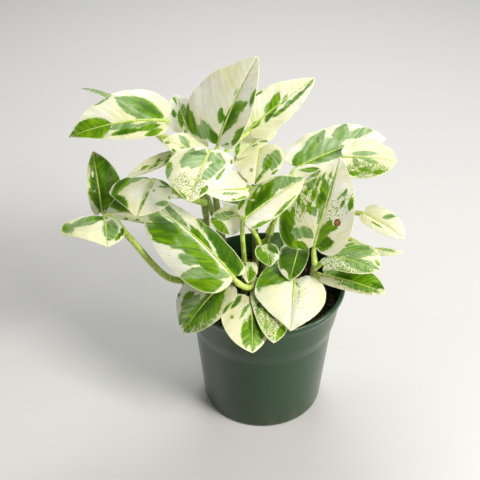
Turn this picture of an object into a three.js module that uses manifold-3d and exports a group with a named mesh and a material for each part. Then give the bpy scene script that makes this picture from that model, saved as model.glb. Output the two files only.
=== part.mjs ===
// A variegated pothos in a round nursery pot: the pot, its potting mix, the rooted vines, and one
// solid for each leaf with its petiole. Millimetres, +Z up, origin on the pot's axis at its foot.
import * as THREE from 'three';
import { mergeVertices } from 'three/addons/utils/BufferGeometryUtils.js';
import Module from 'manifold-3d';

const wasm = await Module();
wasm.setup();

// Driving dimensions of the pot
const POT_HEIGHT = 98;
const RIM_RADIUS = 55;
const MOUTH_RADIUS = 52;
const FOOT_RADIUS = 41;
const STEP_RADIUS = 47.2;
const STEP_HEIGHT = 64;
const FLARE_RADIUS = 48.2;
const FLARE_HEIGHT = 67.5;
const BAND_RADIUS = 49.7;
const BAND_HEIGHT = 73;
const WALL = 1.6;
const FLOOR = 2.2;
const FOOT_BEVEL = 2.5;
const LIP_DROP = 7;
const POT_SIDES = 40;
const DRAIN_HOLES = 6;
const DRAIN_RADIUS = 3.5;
const DRAIN_CIRCLE = 28;
const DRILL_SIDES = 10;

// Driving dimensions of the planting
const SOIL_LEVEL = 84;
const SOIL_RADIUS = 49.2;
const SOIL_BUMP = 1.6;
const SOIL_RINGS = [1, 0.8, 0.6, 0.4, 0.2];
const SOIL_SEGMENTS = 30;
const CLEARANCE = 0.3;
const HOLE_FLOOR = 46;
const HOLE_PLAY = 0.8;
const VINE_TAPER = 0.25;
const VINE_RINGS = 9;
const VINE_SIDES = 8;
const PETIOLE_RINGS = 7;
const PETIOLE_SIDES = 6;
const PETIOLE_RADIUS = 1.5;
const BLADE_THICKNESS = 0.75;
const BLADE_ROWS = 7;
const BLADE_COLUMNS = 3;
// Edges shorter than this are closed after a cut.
const SLIVER = 0.02;

const COLOURS = {
  pot: 0x2f4a3f,
  soil: 0x2a1c14,
  vine: 0x7d9a2c,
  leaf: 0x86a84a,
};

function material(colour, roughness) {
  return new THREE.MeshStandardMaterial({ color: colour, roughness, metalness: 0 });
}

// From drawn surfaces to a closed solid and back.
function solidOf(geometry) {
  const bare = geometry.clone();
  bare.deleteAttribute('normal');
  bare.deleteAttribute('uv');
  const merged = mergeVertices(bare, 1e-4);
  return new wasm.Manifold(new wasm.Mesh({
    numProp: 3,
    vertProperties: new Float32Array(merged.attributes.position.array),
    triVerts: new Uint32Array(merged.index.array),
  }));
}

function geometryOf(solid) {
  const mesh = solid.getMesh();
  const geometry = new THREE.BufferGeometry();
  geometry.setAttribute('position', new THREE.BufferAttribute(mesh.vertProperties, 3));
  geometry.setIndex(new THREE.BufferAttribute(mesh.triVerts, 1));
  geometry.computeVertexNormals();
  return geometry;
}

function geometryFrom(points, triangles) {
  const geometry = new THREE.BufferGeometry();
  geometry.setFromPoints(points);
  geometry.setIndex(triangles);
  return geometry;
}

// A round tube along a curve whose radius changes from ring to ring, closed at both ends.
function sweep(curve, radiusAt, rings, sides) {
  const points = [];
  const triangles = [];
  let across = null;
  for (let i = 0; i <= rings; i += 1) {
    const t = i / rings;
    const centre = curve.getPointAt(t);
    const along = curve.getTangentAt(t);
    if (!across) {
      across = new THREE.Vector3(0, 0, 1).cross(along);
      if (across.lengthSq() < 1e-3) across.set(1, 0, 0);
    }
    across.addScaledVector(along, -across.dot(along)).normalize();
    const up = along.clone().cross(across);
    for (let k = 0; k < sides; k += 1) {
      const angle = (2 * Math.PI * k) / sides;
      points.push(centre.clone()
        .addScaledVector(across, radiusAt(t) * Math.cos(angle))
        .addScaledVector(up, radiusAt(t) * Math.sin(angle)));
    }
  }
  for (let i = 0; i < rings; i += 1) {
    for (let k = 0; k < sides; k += 1) {
      const a = i * sides + k;
      const b = i * sides + ((k + 1) % sides);
      triangles.push(a, b, b + sides, a, b + sides, a + sides);
    }
  }
  const last = rings * sides;
  for (let k = 1; k < sides - 1; k += 1) {
    triangles.push(0, k + 1, k, last, last + k, last + k + 1);
  }
  return geometryFrom(points, triangles);
}

// Pot: a thin moulded shell. A straight tapered wall, a small step that flares into a wider
// band, a rolled lip, and drain holes round its floor.
function potGeometry() {
  const taper = (z) => FOOT_RADIUS + (z / STEP_HEIGHT) * (STEP_RADIUS - FOOT_RADIUS);
  const outer = [
    [0, 0], [FOOT_RADIUS - 1.2, 0], [FOOT_RADIUS - 0.3, 0.6], [taper(FOOT_BEVEL), FOOT_BEVEL],
    [STEP_RADIUS, STEP_HEIGHT], [FLARE_RADIUS, FLARE_HEIGHT], [BAND_RADIUS, BAND_HEIGHT],
    [RIM_RADIUS - 2.4, POT_HEIGHT - LIP_DROP], [RIM_RADIUS - 0.7, POT_HEIGHT - 5],
    [RIM_RADIUS, POT_HEIGHT - 2.6], [RIM_RADIUS - 0.6, POT_HEIGHT - 0.6],
    [RIM_RADIUS - 1.8, POT_HEIGHT],
  ];
  const inner = [
    [MOUTH_RADIUS, POT_HEIGHT - 0.8], [MOUTH_RADIUS - 1, POT_HEIGHT - LIP_DROP],
    [BAND_RADIUS - WALL, BAND_HEIGHT], [FLARE_RADIUS - WALL, FLARE_HEIGHT],
    [STEP_RADIUS - WALL, STEP_HEIGHT], [taper(FLOOR) - 2 * WALL, FLOOR], [0, FLOOR],
  ];
  const profile = [...outer, ...inner].map(([r, z]) => new THREE.Vector2(r, z));
  const lathe = new THREE.LatheGeometry(profile, POT_SIDES);
  lathe.rotateX(Math.PI / 2);
  let pot = solidOf(lathe);
  for (let i = 0; i < DRAIN_HOLES; i += 1) {
    const angle = (2 * Math.PI * i) / DRAIN_HOLES;
    const drill = new THREE.CylinderGeometry(DRAIN_RADIUS, DRAIN_RADIUS, 4 * FLOOR, DRILL_SIDES);
    drill.rotateX(Math.PI / 2);
    drill.translate(DRAIN_CIRCLE * Math.cos(angle), DRAIN_CIRCLE * Math.sin(angle), 0);
    pot = pot.subtract(solidOf(drill));
  }
  return geometryOf(pot);
}

// Rooted vines. Each stands upright in a plain hole in the mix and bends only above it. root is
// its place on the surface, path the points that it grows through, radius its size at the root.
const VINES = {
  vine_front: { root: [-4, -7], path: [[-4, -9, 98], [-5, -13, 108]], radius: 2.8 },
  vine_right: { root: [31, -9], path: [[31, -10, 98], [33, -13, 123]], radius: 2.6 },
  vine_middle: { root: [-13, 0], path: [[-13, 0, 98], [-13, -1, 112]], radius: 2.2 },
  vine_tall: { root: [-24, 12], path: [[-26, 15, 104], [-32, 12, 154], [-34, 9, 186]], radius: 2.6 },
  vine_back: { root: [-6, 24], path: [[-6, 25, 100], [-7, 29, 140], [-7, 31, 176]], radius: 2.4 },
  vine_left: { root: [-35, 2], path: [[-36, 5, 102], [-38, 11, 130], [-39, 12, 152]], radius: 2.4 },
  vine_back_left: { root: [-26, 28], path: [[-28, 30, 102], [-42, 34, 150], [-54, 34, 180]], radius: 2.4 },
  vine_back_right: { root: [0, 8], path: [[0, 9, 98], [1, 10, 118], [3, 12, 128]], radius: 2.4 },
  vine_far_right: { root: [24, 20], path: [[25, 22, 102], [31, 29, 126], [36, 34, 140]], radius: 2.4 },
};

function vineCurve(vine) {
  const [x, y] = vine.root;
  const upright = [HOLE_FLOOR + CLEARANCE, SOIL_LEVEL - 14, SOIL_LEVEL + 4];
  const points = upright.map((z) => new THREE.Vector3(x, y, z));
  for (const [px, py, pz] of vine.path) points.push(new THREE.Vector3(px, py, pz));
  return new THREE.CatmullRomCurve3(points, false, 'centripetal');
}

function vineGeometry(vine, grow = 0) {
  const radiusAt = (t) => vine.radius * (1 - VINE_TAPER * t) + grow;
  return sweep(vineCurve(vine), radiusAt, VINE_RINGS, VINE_SIDES);
}

// Potting mix: fills the pot, uneven on top, with one plain hole for each vine.
function soilGeometry() {
  const bottom = FLOOR + CLEARANCE;
  const inside = WALL + CLEARANCE;
  const side = [
    [FOOT_RADIUS - 3 * WALL, bottom], [STEP_RADIUS - inside, STEP_HEIGHT + CLEARANCE],
    [FLARE_RADIUS - inside, FLARE_HEIGHT + CLEARANCE], [BAND_RADIUS - inside, BAND_HEIGHT + CLEARANCE],
    [SOIL_RADIUS, SOIL_LEVEL - 1],
  ];
  const edge = SOIL_RADIUS - 0.6;
  const rings = SOIL_RINGS.map((part) => part * edge);
  const bump = (r, angle) => SOIL_BUMP * Math.min(1, (edge - r) / 8)
    * (0.5 * Math.sin(3 * angle + r / 7) + 0.5 * Math.cos(5 * angle - r / 5));
  const points = [new THREE.Vector3(0, 0, bottom)];
  const ringOf = (r, heightAt) => {
    for (let k = 0; k < SOIL_SEGMENTS; k += 1) {
      const angle = (2 * Math.PI * k) / SOIL_SEGMENTS;
      points.push(new THREE.Vector3(r * Math.cos(angle), r * Math.sin(angle), heightAt(angle)));
    }
  };
  for (const [r, z] of side) ringOf(r, () => z);
  for (const r of rings) ringOf(r, (angle) => SOIL_LEVEL + bump(r, angle));
  points.push(new THREE.Vector3(0, 0, SOIL_LEVEL));
  const ringCount = side.length + rings.length;
  const at = (ring, k) => 1 + ring * SOIL_SEGMENTS + (k % SOIL_SEGMENTS);
  const top = points.length - 1;
  const triangles = [];
  for (let k = 0; k < SOIL_SEGMENTS; k += 1) {
    triangles.push(0, at(0, k + 1), at(0, k), top, at(ringCount - 1, k), at(ringCount - 1, k + 1));
    for (let ring = 0; ring < ringCount - 1; ring += 1) {
      triangles.push(at(ring, k), at(ring, k + 1), at(ring + 1, k + 1));
      triangles.push(at(ring, k), at(ring + 1, k + 1), at(ring + 1, k));
    }
  }
  let soil = solidOf(geometryFrom(points, triangles));
  for (const vine of Object.values(VINES)) {
    const depth = SOIL_LEVEL + 10 - HOLE_FLOOR;
    const radius = vine.radius + HOLE_PLAY;
    const hole = new THREE.CylinderGeometry(radius, radius, depth, DRILL_SIDES);
    hole.rotateX(Math.PI / 2);
    hole.translate(vine.root[0], vine.root[1], HOLE_FLOOR + depth / 2);
    soil = soil.subtract(solidOf(hole));
  }
  return geometryOf(soil);
}

// Outline of half a blade, as fractions of its length and of its half width: the notch at the
// petiole, the round lobe behind it, the belly, and the drawn-out tip. A full blade keeps its
// width further towards the tip, and a deep lobe reaches further back past the petiole.
const LOBE_DEPTH = 0.15;
const BELLY = 0.3;

function halfOutline(full, lobe) {
  const back = -LOBE_DEPTH * lobe;
  const curve = (...pairs) => new THREE.CubicBezierCurve(...pairs.map(([x, y]) => new THREE.Vector2(x, y)));
  return {
    notch: curve([0, 0], [back / 3, 0.08], [back, 0.18], [back, 0.45]),
    lobe: curve([back, 0.45], [back, 0.85], [0.12, 1], [BELLY, 1]),
    shoulder: curve([BELLY, 1], [0.55 + 0.15 * full, 1], [0.8 + 0.1 * full, 0.35 + 0.3 * full], [1, 0]),
  };
}

function edgePoint(outline, q) {
  const lobeShare = 0.4;
  return q < lobeShare
    ? outline.lobe.getPoint(q / lobeShare)
    : outline.shoulder.getPoint((q - lobeShare) / (1 - lobeShare));
}

const degrees = (value) => (value * Math.PI) / 180;
const sinc = (value) => (Math.abs(value) < 1e-6 ? 1 : Math.sin(value) / value);
const pair = (value) => (Array.isArray(value) ? value : [value, value]);

// The blade's own frame and bend. A blade is set by its base, its tip and its roll; it folds along
// the midrib, curls towards its edges and arches from base to tip.
function bladeForm(leaf) {
  const base = new THREE.Vector3(...leaf.base);
  const tip = new THREE.Vector3(...leaf.tip);
  const chord = tip.clone().sub(base);
  const heading = chord.clone().normalize();
  const level = new THREE.Vector3(0, 0, 1).cross(heading).normalize();
  const roll = degrees(leaf.roll ?? 0);
  const lift = heading.clone().cross(level);
  const left = level.clone().multiplyScalar(Math.cos(roll)).addScaledVector(lift, Math.sin(roll));
  const normal = heading.clone().cross(left);
  const arch = degrees(leaf.arch ?? 20);
  const length = chord.length() / sinc(arch / 2);
  const fold = pair(leaf.fold ?? 8).map(degrees);
  const curl = pair(leaf.curl ?? -20).map(degrees);

  // u runs along the midrib as a fraction of the length, v across as a signed fraction of the
  // half width, positive to the left.
  function place(u, v) {
    const side = v >= 0 ? 0 : 1;
    const reach = Math.abs(v) * leaf.half[side];
    const bend = arch * Math.max(u, -0.2);
    const run = u * length * sinc(bend / 2) * Math.cos(arch / 2 - bend / 2);
    const rise = u * length * sinc(bend / 2) * Math.sin(arch / 2 - bend / 2);
    const turn = curl[side] * Math.abs(v);
    const slope = fold[side] + turn / 2;
    const across = reach * sinc(turn / 2) * Math.cos(slope) * Math.sign(v);
    const above = reach * sinc(turn / 2) * Math.sin(slope);
    const pitch = arch / 2 - bend;
    return base.clone()
      .addScaledVector(heading, run - above * Math.sin(pitch))
      .addScaledVector(normal, rise + above * Math.cos(pitch))
      .addScaledVector(left, across);
  }
  return { place, length, normal };
}

// The blade as a closed thin solid. Rows follow the side veins from midrib to edge, and both
// faces are split into triangles alike.
function bladeGeometry(leaf, form) {
  const rows = leaf.rows ?? BLADE_ROWS;
  const columns = leaf.columns ?? BLADE_COLUMNS;
  const flat = [];
  const index = new Map();
  const key = (i, j) => `${i},${j}`;
  const add = (i, j, u, v) => {
    index.set(key(i, j), flat.length);
    flat.push([u, v]);
  };
  const midrib = (i) => (i / rows) ** 1.25;
  for (let i = 0; i <= rows; i += 1) add(i, 0, midrib(i), 0);
  for (const side of [1, -1]) {
    const which = side === 1 ? 0 : 1;
    const outline = halfOutline(pair(leaf.full ?? 0.5)[which], pair(leaf.lobe ?? 0.6)[which]);
    for (let i = 0; i < rows; i += 1) {
      for (let j = 1; j <= columns; j += 1) {
        const f = j / columns;
        if (i === 0) {
          const notch = outline.notch.getPoint(f);
          add(i, side * j, notch.x, side * notch.y);
        } else {
          const edge = edgePoint(outline, i / rows);
          add(i, side * j, midrib(i) + (edge.x - midrib(i)) * f, side * edge.y * f);
        }
      }
    }
  }
  const upper = flat.map(([u, v]) => form.place(u, v));
  const faces = [];
  for (const side of [1, -1]) {
    const tri = (...keys) => {
      const [a, b, c] = keys.map((name) => index.get(name));
      faces.push(side === 1 ? [a, b, c] : [a, c, b]);
    };
    for (let j = 0; j < columns; j += 1) {
      for (let i = 0; i < rows - 1; i += 1) {
        tri(key(i, side * j), key(i + 1, side * j), key(i + 1, side * (j + 1)));
        tri(key(i, side * j), key(i + 1, side * (j + 1)), key(i, side * (j + 1)));
      }
      tri(key(rows - 1, side * j), key(rows, 0), key(rows - 1, side * (j + 1)));
    }
  }
  const normals = upper.map(() => new THREE.Vector3());
  for (const face of faces) {
    const [a, b, c] = face.map((k) => upper[k]);
    const across = b.clone().sub(a).cross(c.clone().sub(a));
    for (const k of face) normals[k].add(across);
  }
  const lower = upper.map((p, k) => p.clone().addScaledVector(normals[k].normalize(), -BLADE_THICKNESS));
  const count = upper.length;
  const triangles = [];
  for (const [a, b, c] of faces) triangles.push(a, b, c, a + count, c + count, b + count);
  const rim = [index.get(key(0, 0))];
  for (let j = 1; j <= columns; j += 1) rim.push(index.get(key(0, j)));
  for (let i = 1; i < rows; i += 1) rim.push(index.get(key(i, columns)));
  rim.push(index.get(key(rows, 0)));
  for (let i = rows - 1; i > 0; i -= 1) rim.push(index.get(key(i, -columns)));
  for (let j = columns; j > 0; j -= 1) rim.push(index.get(key(0, -j)));
  for (let k = 0; k < rim.length; k += 1) {
    const a = rim[k];
    const b = rim[(k + 1) % rim.length];
    triangles.push(a, b, b + count, a, b + count, a + count);
  }
  return geometryFrom([...upper, ...lower], triangles);
}

// The petiole rises from its vine, bends into the blade and thins out as the midrib's ridge. The
// ridge starts just behind the blade and ends at a fraction of its length.
const RIDGE_START = -0.04;
const RIDGE_END = 0.26;

function petioleGeometry(leaf, form) {
  const radius = leaf.stalk ?? PETIOLE_RADIUS;
  const under = (u, drop) => form.place(u, 0).addScaledVector(form.normal, -drop);
  const points = [
    vineCurve(VINES[leaf.vine]).getPointAt(leaf.at),
    ...(leaf.via ?? []).map((via) => new THREE.Vector3(...via)),
    under(RIDGE_START, radius * 0.85),
    under(RIDGE_END / 2, BLADE_THICKNESS),
    under(RIDGE_END, BLADE_THICKNESS * 0.8),
  ];
  const curve = new THREE.CatmullRomCurve3(points, false, 'centripetal');
  const total = curve.getLength();
  const ridge = (RIDGE_END - RIDGE_START) * form.length;
  const radiusAt = (t) => {
    const left = total * (1 - t);
    if (left > ridge) return radius * (1 + (0.25 * (left - ridge)) / total);
    return radius * (0.28 + 0.72 * (left / ridge));
  };
  return sweep(curve, radiusAt, leaf.rings ?? PETIOLE_RINGS, PETIOLE_SIDES);
}

// A leaf is grown as one piece. Its petiole ends just clear of the vine.
function leafGeometry(leaf) {
  const form = bladeForm(leaf);
  const whole = solidOf(bladeGeometry(leaf, form)).add(solidOf(petioleGeometry(leaf, form)));
  const cut = whole.subtract(solidOf(vineGeometry(VINES[leaf.vine], CLEARANCE)));
  const pieces = cut.simplify(SLIVER).decompose();
  return geometryOf(pieces.reduce((a, b) => (a.volume() > b.volume() ? a : b)));
}

// Leaves. base and tip are the ends of the midrib, half the half widths to the left and right of
// it seen from above with the tip ahead, and at the petiole's place on its vine, 0 at the root
// and 1 at the top. via bends the petiole. roll, fold, curl and arch are in degrees: roll raises
// the left side, fold lifts each side from the midrib, a negative curl turns its edge down, and
// arch bends the blade from base to tip. Where there are two values, the left side comes first.
const LEAVES = {
  front_big: {
    vine: 'vine_front', at: 0.97, via: [[-9, -24, 110]], base: [-19, -35, 128], tip: [-79, 22, 146],
    half: [29, 12.5], lobe: [0.35, 0.2], full: [0.7, 0.9], roll: 5, fold: [8, 20], curl: [-50, -20],
    arch: 25, stalk: 1.9,
  },
  front_centre: {
    vine: 'vine_front', at: 0.8, base: [-8, -30, 106], tip: [-6, -68, 93], half: [13, 20],
    full: 0.9, fold: [-12, 12], curl: [-10, -15], arch: 50,
  },
  front_speckled: {
    vine: 'vine_front', at: 0.9, base: [-1, -24, 107], tip: [7, -65, 99], half: [15, 9],
    full: 1, fold: [-5, 8], curl: [-15, -10], arch: 38,
  },
  front_left_low: {
    vine: 'vine_front', at: 0.68, base: [-24, -30, 120], tip: [-51, -48, 91], half: [17, 29],
    lobe: [0.2, 0.6], full: 0.8, fold: [5, 10], curl: -30, arch: 30,
  },
  front_heart: {
    vine: 'vine_right', at: 0.75, base: [20, -18, 111], tip: [17, -60, 105], half: [21, 25],
    lobe: [0.9, 2.8], full: [0.5, 0], fold: [8, 10], curl: [-20, -15],
  },
  right_main: {
    vine: 'vine_right', at: 0.98, base: [32, -10, 134], tip: [48, 25, 180], half: [28, 22],
    lobe: [0.6, 0.4], full: [0, 0.4], fold: 12, curl: [-20, -15], arch: 15,
  },
  right_mid: {
    vine: 'vine_right', at: 0.93, base: [44, -14, 129], tip: [72, -32, 132], half: [21, 11],
    lobe: [0.6, 1.2], full: 0.9, fold: [10, 0], curl: [-20, -30],
  },
  right_low: {
    vine: 'vine_right', at: 0.86, base: [40, -16, 115], tip: [78, -30, 112], half: [14, 7],
    full: 0.9, roll: 12, fold: [5, -18], curl: [-10, -30], rows: 6,
  },
  thin_right: {
    vine: 'vine_far_right', at: 0.86, base: [72, 2, 124], tip: [91, -2, 125], half: [7, 6], full: 0.9,
    fold: [-36, -10], curl: [0, -10], arch: 20, rows: 5, columns: 2,
  },
  top_centre: {
    vine: 'vine_tall', at: 0.99, base: [-31, 16, 193], tip: [-6, 46, 240], half: [33, 17], lobe: [0.1, 0],
    full: [0.25, 0.5], fold: 12, curl: [-25, -15],
  },
  centre_speckled: {
    vine: 'vine_tall', at: 0.93, via: [[-36, 3, 185]], base: [-35, 3, 196], tip: [-45, -42, 188],
    half: [18, 24], lobe: [0.5, 0.4], curl: [-30, -35], arch: 30,
  },
  upper_mid_left: {
    vine: 'vine_tall', at: 0.82, via: [[-37, 15, 177]], base: [-41, 15, 187], tip: [-66, 21, 192],
    half: [8, 14], lobe: [0.3, 0.6], full: 0.7, roll: -15, fold: 5, rows: 6, columns: 2,
  },
  top_right: {
    vine: 'vine_tall', at: 0.88, via: [[-24, 17, 189]], base: [-9, 27, 200], tip: [31, 56, 220],
    half: [16, 14], full: [0.35, 0.5], roll: 10, fold: [15, 5], curl: [-15, -10], arch: 15,
  },
  below_top_right: {
    vine: 'vine_back', at: 0.99, via: [[-5, 40, 183]], base: [1, 36, 192], tip: [-18, 12, 185],
    half: [8, 14], full: 0.6, curl: [-20, -30], arch: 25, rows: 6,
  },
  centre_white: {
    vine: 'vine_back', at: 0.93, via: [[1, 32, 177]], base: [-3, 26, 186], tip: [-7, 2, 172],
    half: [16, 16], full: 0.7, arch: 30, rows: 6,
  },
  centre_pale: {
    vine: 'vine_back', at: 0.8, via: [[-14, 18, 161]], base: [-13, 1, 170], tip: [-39, -6, 172],
    half: [8, 13], full: 0.4, roll: -20, fold: [-20, 20], curl: [-10, -15], arch: 10, rows: 6,
  },
  left_white: {
    vine: 'vine_left', at: 0.99, via: [[-49, 6, 158]], base: [-72, 8, 171], tip: [-80, -22, 163],
    half: [17, 28], full: [0.7, 0.1], roll: -6, fold: 0, curl: -40, arch: 40,
  },
  left_fold: {
    vine: 'vine_left', at: 0.85, via: [[-58, 18, 134]], base: [-78, 22, 134], tip: [-106, 20, 136],
    half: [7, 17], full: 0.7, roll: -10, fold: [0, 25], rows: 6, columns: 2,
  },
  left_upright: {
    vine: 'vine_left', at: 0.76, via: [[-72, 28, 122]], base: [-111, 32, 131], tip: [-117, 53, 164],
    half: [8, 16], full: 0.6,
  },
  far_left_low: {
    vine: 'vine_left', at: 0.48, via: [[-61, -16, 110], [-86, -9, 136], [-101, 5, 144]],
    base: [-104, 1, 146], tip: [-98, -30, 145], half: [14, 30], full: [0.5, 0.1], roll: -10, fold: [0, 5],
    curl: -40, arch: 25, stalk: 2, rings: 11,
  },
  rolled: {
    vine: 'vine_left', at: 0.9, via: [[-45, 22, 160]], base: [-60, 25, 178], tip: [-91, 17, 166],
    half: [7, 6], fold: [0, 20], curl: 10, arch: 10, columns: 2, rows: 6,
  },
  top_left: {
    vine: 'vine_back_left', at: 0.97, via: [[-63, 34, 186], [-68, 25, 195]], base: [-65, 24, 206],
    tip: [-124, 12, 199], half: [12, 26], lobe: [0.4, 0.7], full: 0.2, roll: -20, fold: [-45, 10],
    curl: [-10, -20], arch: 40,
  },
  far_back_left: {
    vine: 'vine_back_left', at: 0.88, base: [-99, 62, 199], tip: [-125, 76, 200], half: [9, 9], roll: 28,
    fold: 0, curl: 0, arch: 10, rows: 6, columns: 2,
  },
  back_bit: {
    vine: 'vine_back_left', at: 0.93, base: [-53, 48, 186], tip: [-61, 70, 199], half: [11, 11], fold: 5,
    curl: -10, arch: 10, rows: 6, columns: 2,
  },
  back_low_left: {
    vine: 'vine_back_left', at: 0.6, base: [-46, 52, 134], tip: [-74, 68, 122], half: [14, 14], arch: 35,
    rows: 6, columns: 2,
  },
  back_top: {
    vine: 'vine_back', at: 0.87, via: [[-12, 42, 172]], base: [-18, 50, 182], tip: [-30, 82, 186],
    half: [16, 17], full: 0.7, arch: 30, rows: 6, columns: 2,
  },
  back_middle: {
    vine: 'vine_back', at: 0.73, base: [-3, 51, 156], tip: [-2, 82, 147], half: [17, 15],
    arch: 35, rows: 6, columns: 2,
  },
  back_low: {
    vine: 'vine_back', at: 0.56, base: [-12, 44, 126], tip: [-17, 82, 114], half: [17, 18],
    full: 0.6, arch: 40, rows: 6, columns: 2,
  },
  back_low_right: {
    vine: 'vine_far_right', at: 0.77, base: [36, 48, 122], tip: [56, 72, 122], half: [15, 14], arch: 35,
    rows: 6, columns: 2,
  },
  centre_right: {
    vine: 'vine_middle', at: 0.99, base: [-12, -8, 154], tip: [25, 15, 170], half: [15, 12], lobe: [0.3, 0.5],
    full: 0.8, roll: 15, fold: [10, -10], curl: -30,
  },
  behind_big: {
    vine: 'vine_back_right', at: 0.74, via: [[-6, 9, 128]], base: [-18, 5, 146], tip: [-36, 2, 143],
    half: [12, 8], full: 0.6, roll: -35, rows: 6, columns: 2,
  },
  inner_cream: {
    vine: 'vine_middle', at: 0.79, base: [-10, -9, 118], tip: [-10, -24, 113], half: [6, 5],
    columns: 2, rows: 6,
  },
  back_right: {
    vine: 'vine_back_right', at: 0.99, via: [[7, 16, 137]], base: [22, 52, 155], tip: [82, 71, 167],
    half: [29, 14.5], full: 1, fold: [10, 5], arch: 25, stalk: 1.8,
  },
  inner_speckled: {
    vine: 'vine_back_right', at: 0.87, base: [1, -2, 127], tip: [4, -16, 121], half: [8, 8],
    columns: 2, rows: 6,
  },
  right_round: {
    vine: 'vine_far_right', at: 0.99, base: [52, 44, 168], tip: [86, 36, 170], half: [17, 16], full: 1,
    roll: 20, fold: 0, rows: 6,
  },
  right_small: {
    vine: 'vine_far_right', at: 0.93, base: [66, 14, 143], tip: [90, -6, 138], half: [11, 7], full: 0.9,
    roll: 20, rows: 6, columns: 2,
  },
  inner_dark: {
    vine: 'vine_far_right', at: 0.7, base: [23, 4, 123], tip: [17, -20, 113], half: [8, 12],
    full: 0.9, rows: 6, columns: 2,
  },
  inner_deep: {
    vine: 'vine_back', at: 0.47, base: [12, 26, 117], tip: [14, 4, 113], half: [9, 10],
    rows: 6, columns: 2,
  },
};

const plant = new THREE.Group();

function addPiece(name, geometry, surface) {
  const mesh = new THREE.Mesh(geometry, surface);
  mesh.name = name;
  plant.add(mesh);
}

addPiece('pot', potGeometry(), material(COLOURS.pot, 0.42));
addPiece('potting_mix', soilGeometry(), material(COLOURS.soil, 0.95));
for (const [name, vine] of Object.entries(VINES)) {
  addPiece(name, vineGeometry(vine), material(COLOURS.vine, 0.5));
}
for (const [name, leaf] of Object.entries(LEAVES)) {
  addPiece(`leaf_${name}`, leafGeometry(leaf), material(COLOURS.leaf, 0.45));
}

export default plant;
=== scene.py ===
# %% [markdown]
# # A potted variegated pothos
# A young pothos grows in a round nursery pot. Its blades are cream and white, marbled with green.
# The measured model gives the pot, the potting mix, the vines and a plain solid for each leaf. This
# lesson replaces them with finer pieces of the same form and gives every surface its own finish.
# Lengths are written in millimetres, as a grower would measure them, and turned into metres when
# a mesh is made.

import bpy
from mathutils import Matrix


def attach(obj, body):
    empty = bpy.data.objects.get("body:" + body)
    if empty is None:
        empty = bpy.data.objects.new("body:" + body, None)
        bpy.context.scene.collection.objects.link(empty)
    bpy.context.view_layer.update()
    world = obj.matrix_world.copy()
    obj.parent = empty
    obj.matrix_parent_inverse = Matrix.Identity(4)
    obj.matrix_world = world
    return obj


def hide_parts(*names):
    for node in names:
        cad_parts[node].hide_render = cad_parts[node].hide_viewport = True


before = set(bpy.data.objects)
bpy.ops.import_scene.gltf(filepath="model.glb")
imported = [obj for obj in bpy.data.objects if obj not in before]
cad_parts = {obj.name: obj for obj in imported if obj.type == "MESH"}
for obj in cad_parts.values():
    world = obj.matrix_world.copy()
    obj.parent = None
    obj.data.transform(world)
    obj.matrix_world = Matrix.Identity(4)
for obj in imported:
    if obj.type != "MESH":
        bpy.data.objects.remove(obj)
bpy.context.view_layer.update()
print("nodes in the model:", len(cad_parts))

# %% Tools and units
import math
import random

import bmesh
import bpy
import numpy as np
from mathutils import Vector

MM = 0.001
SOIL_LEVEL = 84

scene = bpy.context.scene

# %% [markdown]
# ## The view
# The plant is seen from in front and well above, through a long lens, so its lines hardly
# converge. The camera stands where the pot's rim, step and foot line up with the real ones. The
# floor is a plain pale sheet. The light is that of a bright room: a soft window from the upper
# right, a low one that reaches the pot, a weak one from the left, one from behind that shines
# through the blades, and a faint even sky.

# %% Camera
CAMERA_PLACE = (0, -565, 544)
CAMERA_TILT = 53.8
CAMERA_TURN = 1.62
LENS = 80.4
SENSOR = 36

lens = bpy.data.cameras.new("front_camera")
lens.lens = LENS
lens.sensor_width = SENSOR
camera = bpy.data.objects.new("front_camera", lens)
camera.location = Vector(CAMERA_PLACE) * MM
camera.rotation_euler = (math.radians(CAMERA_TILT), 0, math.radians(CAMERA_TURN))
scene.collection.objects.link(camera)
scene.camera = camera
print("camera at", tuple(round(v, 3) for v in camera.location))

# %% Light
PLANT_MIDDLE = (0, 0, 0.13)
WINDOWS = {
    "right_window": dict(place=(0.62, -0.55, 0.95), size=0.36, watts=12, colour=(1.0, 0.98, 0.95)),
    "left_window": dict(place=(-0.9, -0.2, 0.7), size=0.6, watts=1.6, colour=(1.0, 0.97, 0.92)),
    "back_window": dict(place=(0.0, 0.60, 0.85), size=0.5, watts=6, colour=(0.97, 0.99, 1.0)),
    "low_window": dict(place=(0.80, -0.24, 0.24), size=0.26, watts=4.2, colour=(1.0, 0.98, 0.94)),
}
SKY_COLOUR = (0.96, 0.98, 1.0, 1)
SKY_STRENGTH = 0.13

for name, window in WINDOWS.items():
    light = bpy.data.lights.new(name, "AREA")
    light.size = window["size"]
    light.energy = window["watts"]
    light.color = window["colour"]
    lamp = bpy.data.objects.new(name, light)
    lamp.location = window["place"]
    aim = Vector(PLANT_MIDDLE) - lamp.location
    lamp.rotation_euler = aim.to_track_quat("-Z", "Y").to_euler()
    scene.collection.objects.link(lamp)

sky = bpy.data.worlds.new("bright_room")
scene.world = sky
sky.use_nodes = True
sky.node_tree.nodes["Background"].inputs["Color"].default_value = SKY_COLOUR
sky.node_tree.nodes["Background"].inputs["Strength"].default_value = SKY_STRENGTH
scene.view_settings.view_transform = "Standard"
print("lights:", ", ".join(WINDOWS))

# %% [markdown]
# ## Building blocks of a finish
# A finish is a web of nodes. Written out node by node it is hard to read, so two small helpers
# let each line say what it does: a value that comes out of a node can be added and multiplied like
# a number, and a web makes the nodes and joins them. Shader node groups are built with them once
# and then placed in each material that needs them.

# %% Values on the wires


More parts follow.
